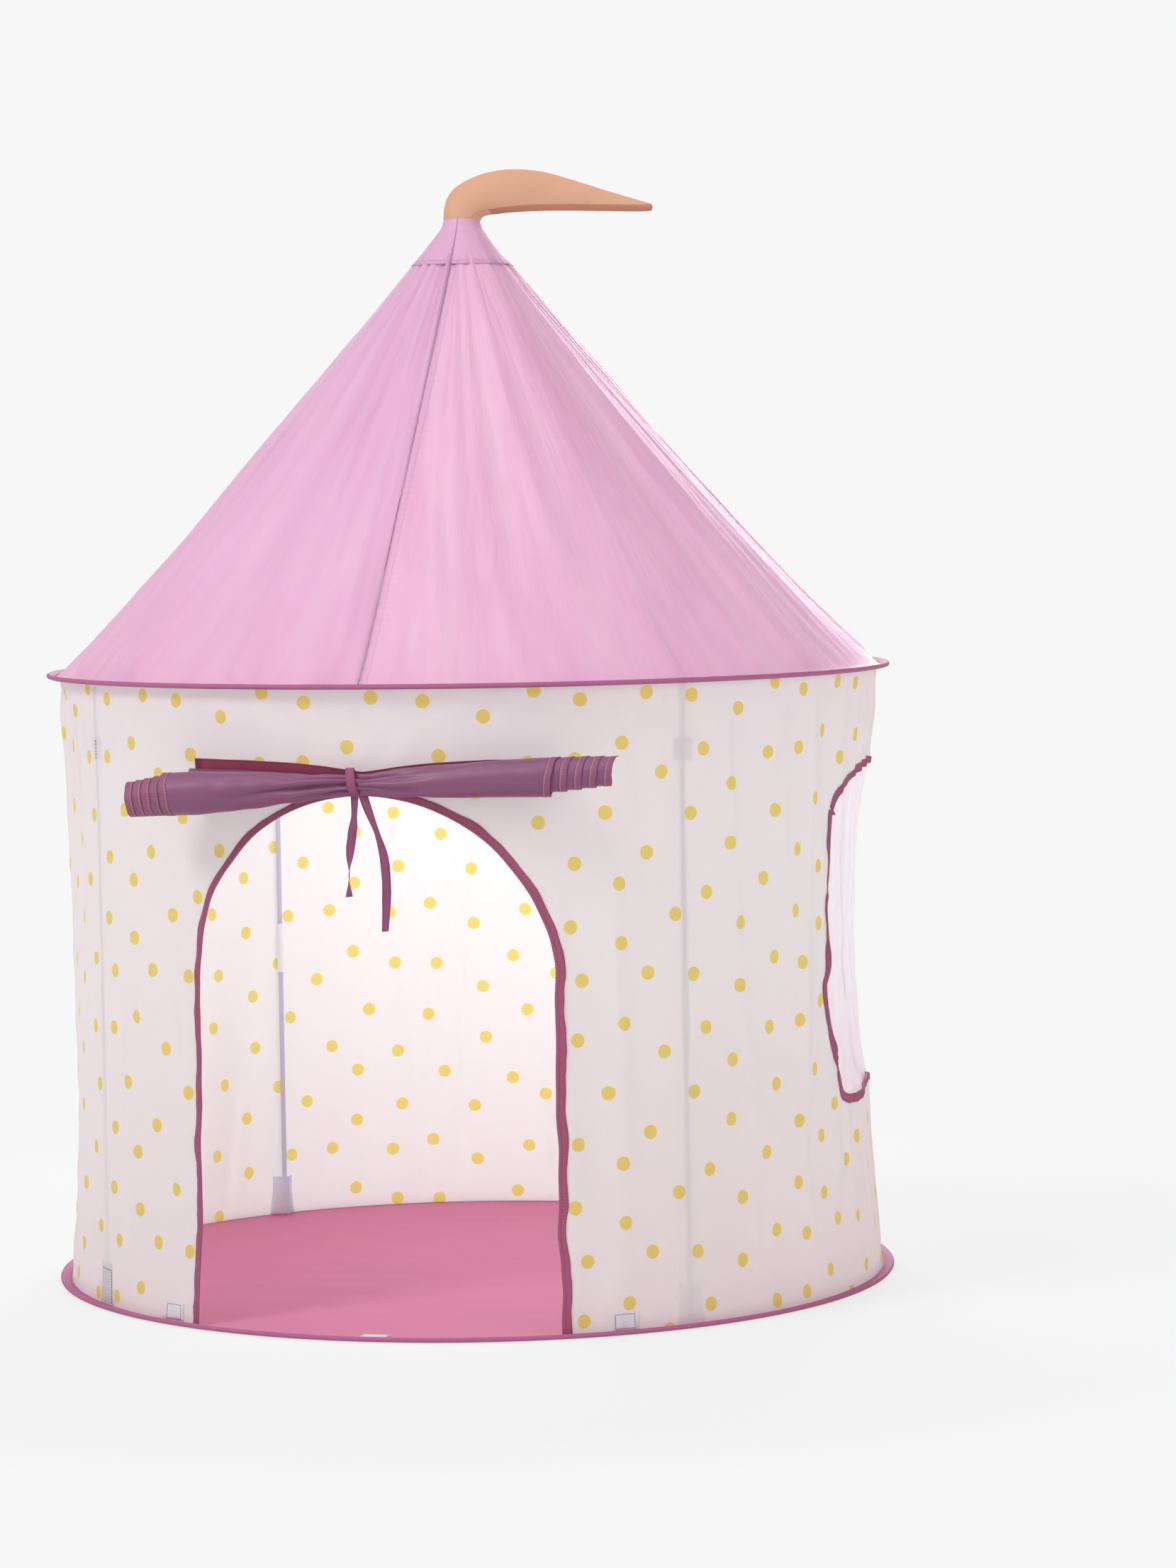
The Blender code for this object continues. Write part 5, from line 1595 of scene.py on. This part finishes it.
def roofRelief(bearing, share):
    free = ease((toPole(bearing) - 1.5 - 1.5 * share) / (8.0 + 10.0 * share))
    ends = ease(share / 0.05) * ease((1.0 - share) / 0.10)
    turn = math.radians(bearing)
    radius = roofRadius(bearing, share)
    x, y = radius * math.sin(turn), radius * math.cos(turn)
    relief = 0.0
    for middle, width, depth, low, high in roof["folds"]:
        away = abs(turnTo(bearing, middle + 3.0 * ripple(share * 2.5, middle)))
        if away < 2.6 * width:
            fade = ease((share - low) / 0.2) * ease((high - share) / 0.2)
            relief += roof["foldScale"] * depth * (1.0 - 0.6 * share) * fade * math.exp(-(away / width) ** 2)
    slackSide = roof["busyBearing"] < turnTo(bearing, 0.0) < 0.0
    busy = roof["busySides"][0 if slackSide else 1]
    for around, drift, tall, seed, depth in roof["waves"]:
        wave = ripple(turn * around + share * drift, share * tall, seed)
        relief += depth * busy * wave * (1.0 - 0.6 * share)
    relief += roof["crumple"] * ripple(x * 42.0, y * 42.0, share * 9.0)
    relief *= free * ends
    run = share * roof["stitchRun"]
    wave = math.sin(2.0 * math.pi * turn * radius / roof["footPuckerPitch"] + 4.0 * ripple(turn * 6.0, 5.0))
    relief += roof["footPucker"] * wave * ease(1.0 - run / 0.020) * ease(run / 0.004)
    for seam in (0.0, 180.0):
        away = abs(math.radians(turnTo(bearing, seam))) * radius
        pull = math.sin(2.0 * math.pi * run / roof["seamPuckerPitch"] + 3.0 * ripple(run * 14.0, seam))
        drawn = ease(1.0 - away / roof["seamReach"]) * ease(share / 0.03)
        relief += (roof["seamPucker"] * pull - roof["seamSink"]) * drawn
    return relief


def makeRoofPanel(name, side, node):
    columns, rows = roof["columns"], roof["rows"]
    foot = tent["roofFoot"][0]

    def spots(column, row):
        # bearings lie closer together beside the two seams
        t = column / columns
        eased = t - roof["crowd"] * math.sin(4.0 * math.pi * t) / (2.0 * math.pi)
        bearing = 180.0 * eased if side > 0 else -180.0 + 180.0 * eased
        share = -1.0 if row == 0 else roof["top"] * (row - 1) / (rows - 1)
        return bearing, share

    def place(column, row):
        bearing, share = spots(column, row)
        if share < 0.0:
            spot = atBearing(bearing, foot + roof["hem"], roofHeight(0.0))
        else:
            radius = roofRadius(bearing, share) + roofRelief(bearing, share)
            spot = atBearing(bearing, radius, roofHeight(share))
        if column in (0, columns):
            # the right panel laps over the left at both seams
            spot.x = roof["lap"] if side > 0 else -0.3 * roof["lap"]
            spot.y += math.copysign(side * 0.0006, spot.y)
        return spot

    def uvAt(column, row):
        bearing, share = spots(column, row)
        share = max(0.0, share)
        width = foot - (foot - tent["roofTop"][0]) * share
        turned, shift = (bearing, 0.0) if side > 0 else (180.0 + bearing, roof["uvShift"])
        return math.radians(turned) * width + shift, share * roof["slope"]

    bm = gridSheet(columns, rows, place, uvAt)
    piece = finishPiece(name, bm, "roofPolyester", "tent", roof["thickness"])
    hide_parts(node)
    return piece


def makeRoofCap():
    steps, last = roof["capSteps"], roof["capRows"] - roof["capTurnRows"]
    foot, top = tent["roofFoot"], tent["roofTop"]
    low = 1.0 - roof["capDepth"] / (top[1] - foot[1])

    def place(column, row):
        bearing = 360.0 * column / steps - 180.0
        turn = math.radians(bearing)
        if row <= last:
            share = low + (1.0 - low) * row / last
            radius = roofRadius(bearing, share) + roof["capOffset"] + roof["capClear"]
            run = (share - low) * roof["stitchRun"]
            hem = math.sin(26.0 * turn + 2.0 * ripple(turn * 3.0, 2.0)) * ease(1.0 - run / 0.014)
            fold = ripple(math.cos(turn) * 2.6, math.sin(turn) * 2.6, share * 6.0) * ease(run / 0.01)
            radius += max(-roof["capClear"], roof["capWaver"] * hem)
            radius += max(-0.0002, roof["capWaver"] * fold) * ease((1.0 - share) / 0.02)
            return atBearing(bearing, radius, roofHeight(share))
        over = 0.5 * math.pi * (row - last) / roof["capTurnRows"]
        radius = (top[0] + roof["capOffset"]) * math.cos(over)
        return atBearing(bearing, max(0.0, radius), top[1] + roof["capRise"] * math.sin(over))

    def uvAt(column, row):
        return capSeam["girth"] * column / steps, roof["capLength"] * row / last

    bm = gridSheet(steps, roof["capRows"], place, uvAt, closeAcross=True)
    piece = finishPiece("roofCapCone", bm, "roofCapCloth", "tent", roof["thickness"])
    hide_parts("roof_cap")
    return piece


leftRoof = makeRoofPanel("leftRoofCloth", -1.0, "left_roof_panel")
rightRoof = makeRoofPanel("rightRoofCloth", 1.0, "right_roof_panel")
roofCap = makeRoofCap()
print("tent: roof made")

# Pennant: two layers of cloth sewn along the lower edge, open at the foot to slip over the tip of the roof
pennant = {
    "hem": 1.2435,
    "length": 0.235,
    "height": 0.0605,
    "halfDepth": 0.020,
    "ring": 44,
    "between": 6,
    "flatFrom": 26.0,
    "sway": 0.0022,
    "ripple": 0.0016,
    "thickness": 0.0005,
    # shares of the length and the height for a section's left and right end, and of the half depth
    "sectionShares": (
        (-0.0900, 0.035, 0.0880, -0.075, 1.00), (-0.0880, 0.250, 0.0960, 0.060, 0.98),
        (-0.0700, 0.495, 0.1150, 0.125, 0.86), (-0.0250, 0.700, 0.1450, 0.150, 0.68),
        (0.0570, 0.867, 0.1920, 0.167, 0.48), (0.1570, 0.970, 0.2570, 0.185, 0.30),
        (0.2790, 1.000, 0.3380, 0.195, 0.20), (0.4260, 0.930, 0.4460, 0.195, 0.16),
        (0.5870, 0.744, 0.5870, 0.180, 0.135), (0.7490, 0.533, 0.7490, 0.155, 0.115),
        (0.9110, 0.334, 0.9110, 0.135, 0.095), (0.9800, 0.250, 0.9800, 0.140, 0.065),
    ),
}


def makePennant():
    sections = smoothLine(pennant["sectionShares"], pennant["between"])
    ring = pennant["ring"]
    last = len(sections) - 1

    def chord(row):
        leftX, leftZ, rightX, rightZ, depth = sections[row]
        left = Vector((leftX * pennant["length"], 0.0, pennant["hem"] + leftZ * pennant["height"]))
        right = Vector((rightX * pennant["length"], 0.0, pennant["hem"] + rightZ * pennant["height"]))
        return left, right, depth * pennant["halfDepth"]

    def place(column, row):
        left, right, depth = chord(row)
        if row == last:
            return (left + right) / 2
        turn = -2.0 * math.pi * column / ring
        # away from the foot the section flattens to two layers that meet at their edges
        flatness = ease(row / pennant["flatFrom"])
        spot = (left + right) / 2 + (right - left) / 2 * math.cos(turn)
        side = math.sin(turn)
        pinched = side * abs(side) ** (0.8 * flatness)
        sway = pennant["sway"] * math.sin(spot.x * 34.0 + spot.z * 30.0)
        sway += pennant["ripple"] * ripple(spot.x * 26.0, spot.z * 26.0, 2.0)
        spot.y = depth * pinched + sway * flatness * ease((last - row) / 8.0)
        return spot

    def uvAt(column, row):
        left, right = chord(row)[:2]
        turn = 2.0 * math.pi * column / ring
        width = (right - left).length
        return max(right.x, left.x), width * (1.0 - math.cos(turn)) / 2.0

    bm = gridSheet(ring, last, place, uvAt, closeAcross=True)
    piece = finishPiece("pennantFlag", bm, "pennantCloth", "flag", pennant["thickness"])
    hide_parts("pennant")
    return piece


pennantFlag = makePennant()

# Pockets and loops sewn inside the wall round the poles: widths low and high, and heights
sleeves = {
    "pocket": {"low": 0.0030, "high": 0.0512, "widthLow": 0.0350, "widthHigh": 0.0275, "rows": 16},
    "loop": {"low": 0.6272, "high": 0.6528, "widthLow": 0.0240, "widthHigh": 0.0240, "rows": 8},
    "columns": 28,
    "atRadius": 0.478,
    "clear": 0.0048,
    "lip": 0.0009,
    "flatRidge": 0.0034,
    "dents": 0.0005,
    "ragged": 0.0006,
    "thickness": 0.0006,
    "cut": (0.034, 0.050),
    "paintedShadePocket": "frontLeftFootPocketCloth",  # the one painted dark grey-blue, as the shade it casts through the wall
}


def makeSleeve(name, bearing, look, node):
    columns, rows = sleeves["columns"], look["rows"]
    wide, tall = sleeves["cut"]

    def place(column, row):
        up = row / rows
        height = look["low"] + (look["high"] - look["low"]) * up
        width = look["widthLow"] + (look["widthHigh"] - look["widthLow"]) * min(1.0, up * 1.6)
        across = width * (column / columns - 0.5)
        if row == rows:
            height += sleeves["ragged"] * ripple(across * 200.0, bearing, 1.0)
        turn = bearing + math.degrees(across / sleeves["atRadius"])
        onWall = math.radians(turnTo(turn, 0.0)) * wall["flatRadius"]
        seat = wallRadius(turn, height) + wallRelief(onWall, height) - sleeves["lip"]
        over = tent["poleCircle"] - sleeves["clear"]
        hump = ease((width / 2.0 - abs(across)) / (width / 2.0 - sleeves["flatRidge"]))
        radius = seat + (min(seat, over) - seat) * hump
        radius -= sleeves["dents"] * ripple(across * 120.0, height * 80.0, bearing) * hump
        return atBearing(turn, radius, height)

    def uvAt(column, row):
        return wide * column / columns, tall * (1.0 - row / rows)

    bm = gridSheet(columns, rows, place, uvAt)
    bmesh.ops.reverse_faces(bm, faces=bm.faces)
    finish = "pocketClothPaintedShade" if name == sleeves["paintedShadePocket"] else "pocketCloth"
    piece = finishPiece(name, bm, finish, "tent", sleeves["thickness"])
    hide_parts(node)


for side, bearing in tent["poles"].items():
    words = side.split("_")
    plain = words[0] + words[1].capitalize()
    makeSleeve(plain + "FootPocketCloth", bearing, sleeves["pocket"], side + "_foot_pocket")
    makeSleeve(plain + "PoleLoopCloth", bearing, sleeves["loop"], side + "_pole_loop")
print("tent: pennant, pockets and loops made")

# Stitches that show on the outside of the wall where the pockets and loops are sewn on
stitches = {
    "length": 0.0021,
    "pitch": 0.0033,
    "width": 0.00055,
    "depth": 0.0005,
    "lift": 0.0002,
    # each row's ends, beside the pole's middle and up the wall: pocket's side, pocket's mouth, loop
    "rows": (
        ((0.0125, 0.005), (0.0115, 0.042)),
        ((-0.0120, 0.044), (0.0120, 0.043)),
        ((0.0012, 0.6285), (0.0012, 0.6515)),
    ),
    "noneShowAt": "front_right",
}


def makeStitches():
    bm = bmesh.new()

    def sew(start, end):
        length = math.hypot(end[0] - start[0], end[1] - start[1])
        count = max(1, int(length / stitches["pitch"]))
        for index in range(count):
            spots = []
            for turn in (-1.0, 1.0):
                share = (index + 0.5) / count + turn * stitches["length"] / length / 2.0
                x = start[0] + (end[0] - start[0]) * share
                height = start[1] + (end[1] - start[1]) * share
                spots.append(wallSpot(x, height, stitches["lift"]))
            middle = (spots[0] + spots[1]) / 2
            run = spots[1] - spots[0]
            outward = Vector((middle.x, middle.y, 0.0)).normalized()
            sideways = run.normalized().cross(outward)
            turned = Matrix((sideways, run.normalized(), outward)).transposed().to_4x4()
            size = Matrix.Diagonal((stitches["width"], run.length, stitches["depth"], 1.0))
            bmesh.ops.create_cube(bm, size=1.0, matrix=Matrix.Translation(middle) @ turned @ size)

    for side, bearing in tent["poles"].items():
        if side == stitches["noneShowAt"]:
            continue
        middle = math.radians(turnTo(bearing, 0.0)) * wall["flatRadius"]
        for (startX, startUp), (endX, endUp) in stitches["rows"]:
            sew((middle + startX, startUp), (middle + endX, endUp))
    finishPiece("pocketStitches", bm, "seamThread", "tent")


makeStitches()

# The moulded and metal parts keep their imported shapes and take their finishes
hardFinishes = {"pole": "poleGlassfibre", "ferrule": "ferrulePlastic", "elbow": "ferrulePlastic",
                "hub": "ferrulePlastic", "hoop": "ringSteel"}
for name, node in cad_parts.items():
    for ending, finish in hardFinishes.items():
        if name.endswith(ending):
            for place in node.material_slots:
                place.material = finishes[finish]

print("tent: moulded and metal parts finished")

# Studio: a pale floor, soft light from the front and some from behind, and the photograph's camera
studio = {
    "floorColour": (0.93, 0.93, 0.93),
    "floorShade": (0.915, 0.915, 0.915),
    "floorRadius": 9.0,
    "floorHeight": -0.0006,
    # how much of the floor is plain background: at least the share, and all of it past the tent
    "plainShare": 0.76,
    "plainSlope": 1.3,
    "plainStart": -0.55,
    "background": (0.931, 0.931, 0.931),
    "worldLight": 0.36,
    # each lamp: place, aim, size and power
    "lamps": (
        ("keyLamp", (-2.3, -3.0, 3.5), (0.0, 0.0, 0.75), 1.5, 80.0),
        ("fillLamp", (3.4, -2.6, 1.7), (0.0, 0.0, 0.6), 2.4, 38.0),
        ("sheenLamp", (-0.5, -1.0, 3.9), (0.0, -0.2, 0.9), 1.1, 15.0),
        ("backLamp", (-0.4, 3.4, 1.8), (0.0, 0.2, 0.4), 2.4, 102.0),
    ),
    "insideLamp": ((0.02, 0.06, 0.52), 0.30, 4.8, (0.70, 1.0, 0.88)),
    "cameraPlace": (1.3429, -5.2303, 0.927),
    "cameraLook": (-0.2231, 0.9726, -0.0647),
    "cameraUp": (-0.0005, 0.0663, 0.9978),
    "lens": 104.27,
    "film": (1659.0, 2212.0),
    "sensor": 36.0,
}


def seenDirectly(start):
    # 1 where the camera looks, or sees through glass or in a mirror
    rays = start.node("ShaderNodeLightPath")
    return rays.most(rays.pick("Is Glossy Ray")).most(rays.pick("Is Transmission Ray"))


def makeFloorStage():
    start = startFinish("studioFloor")
    room = start.node("ShaderNodeTexCoord", out=3)
    away = start.node("ShaderNodeVectorMath", {"operation": "LENGTH"}, {0: room}, out=1)
    paint = room.mottle(60.0, 2.0).tint(studio["floorColour"], studio["floorShade"])
    dull = {"Base Color": paint, "Roughness": 0.9, "Specular IOR Level": 0.0}
    matte = start.node("ShaderNodeBsdfPrincipled", None, dull)
    glow = {"Color": (*studio["background"], 1.0), "Strength": 1.0}
    bright = start.node("ShaderNodeEmission", None, glow)
    far = away.maths("ADD", away * studio["plainSlope"], studio["plainStart"], clamp=True)
    plain = seenDirectly(start) * far.most(studio["plainShare"])
    surface = start.node("ShaderNodeMixShader", None, {0: plain, 1: matte, 2: bright})
    start.node("ShaderNodeOutputMaterial", None, {"Surface": surface})
    bm = bmesh.new()
    bmesh.ops.create_circle(bm, cap_ends=True, segments=96, radius=studio["floorRadius"],
                            matrix=Matrix.Translation((0.0, 0.0, studio["floorHeight"])))
    mesh = bpy.data.meshes.new("studioFloor")
    bm.to_mesh(mesh)
    bm.free()
    mesh.materials.append(finishes["studioFloor"])
    stage = bpy.data.objects.new("studioFloor", mesh)
    bpy.context.scene.collection.objects.link(stage)


def hangLamp(name, kind, place, power):
    lamp = bpy.data.lights.new(name, kind)
    lamp.energy = power
    holder = bpy.data.objects.new(name, lamp)
    bpy.context.scene.collection.objects.link(holder)
    holder.location = place
    holder.visible_camera = False
    return lamp, holder


def makeLamp(name, place, aim, size, power):
    lamp, holder = hangLamp(name, "AREA", place, power)
    lamp.shape = "DISK"
    lamp.size = size
    holder.rotation_euler = (Vector(aim) - Vector(place)).to_track_quat("-Z", "Y").to_euler()


def makeInsideLamp():
    # daylight that gathers under the roof and shows the poles through the cloth
    place, size, power, colour = studio["insideLamp"]
    lamp = hangLamp("insideLamp", "POINT", place, power)[0]
    lamp.shadow_soft_size = size
    lamp.color = colour


def makeWorld():
    world = bpy.data.worlds.new("studioWorld")
    bpy.context.scene.world = world
    world.use_nodes = True
    tree = world.node_tree
    tree.nodes.clear()
    start = Wire(tree)
    white = {"Color": (1.0, 1.0, 1.0, 1.0), "Strength": studio["worldLight"]}
    light = start.node("ShaderNodeBackground", None, white)
    backdrop = {"Color": (*studio["background"], 1.0), "Strength": 1.0}
    shown = start.node("ShaderNodeBackground", None, backdrop)
    mixed = start.node("ShaderNodeMixShader", None, {0: seenDirectly(start), 1: light, 2: shown})
    start.node("ShaderNodeOutputWorld", None, {"Surface": mixed})


def makeCamera():
    camera = bpy.data.cameras.new("photoCamera")
    camera.sensor_fit = "VERTICAL"
    filmWide, filmTall = studio["film"]
    camera.sensor_height = studio["sensor"]
    camera.sensor_width = studio["sensor"] * filmWide / filmTall
    camera.lens = studio["lens"]
    camera.clip_end = 60.0
    holder = bpy.data.objects.new("photoCamera", camera)
    bpy.context.scene.collection.objects.link(holder)
    look, up = Vector(studio["cameraLook"]).normalized(), Vector(studio["cameraUp"])
    right = look.cross(up).normalized()
    up = right.cross(look)
    turned = Matrix((right, up, -look)).transposed().to_4x4()
    holder.matrix_world = Matrix.Translation(studio["cameraPlace"]) @ turned
    bpy.context.scene.camera = holder


makeFloorStage()
for lampLook in studio["lamps"]:
    makeLamp(*lampLook)
makeInsideLamp()
makeWorld()
makeCamera()
bpy.context.scene.view_settings.view_transform = "Standard"
print("tent: studio ready")
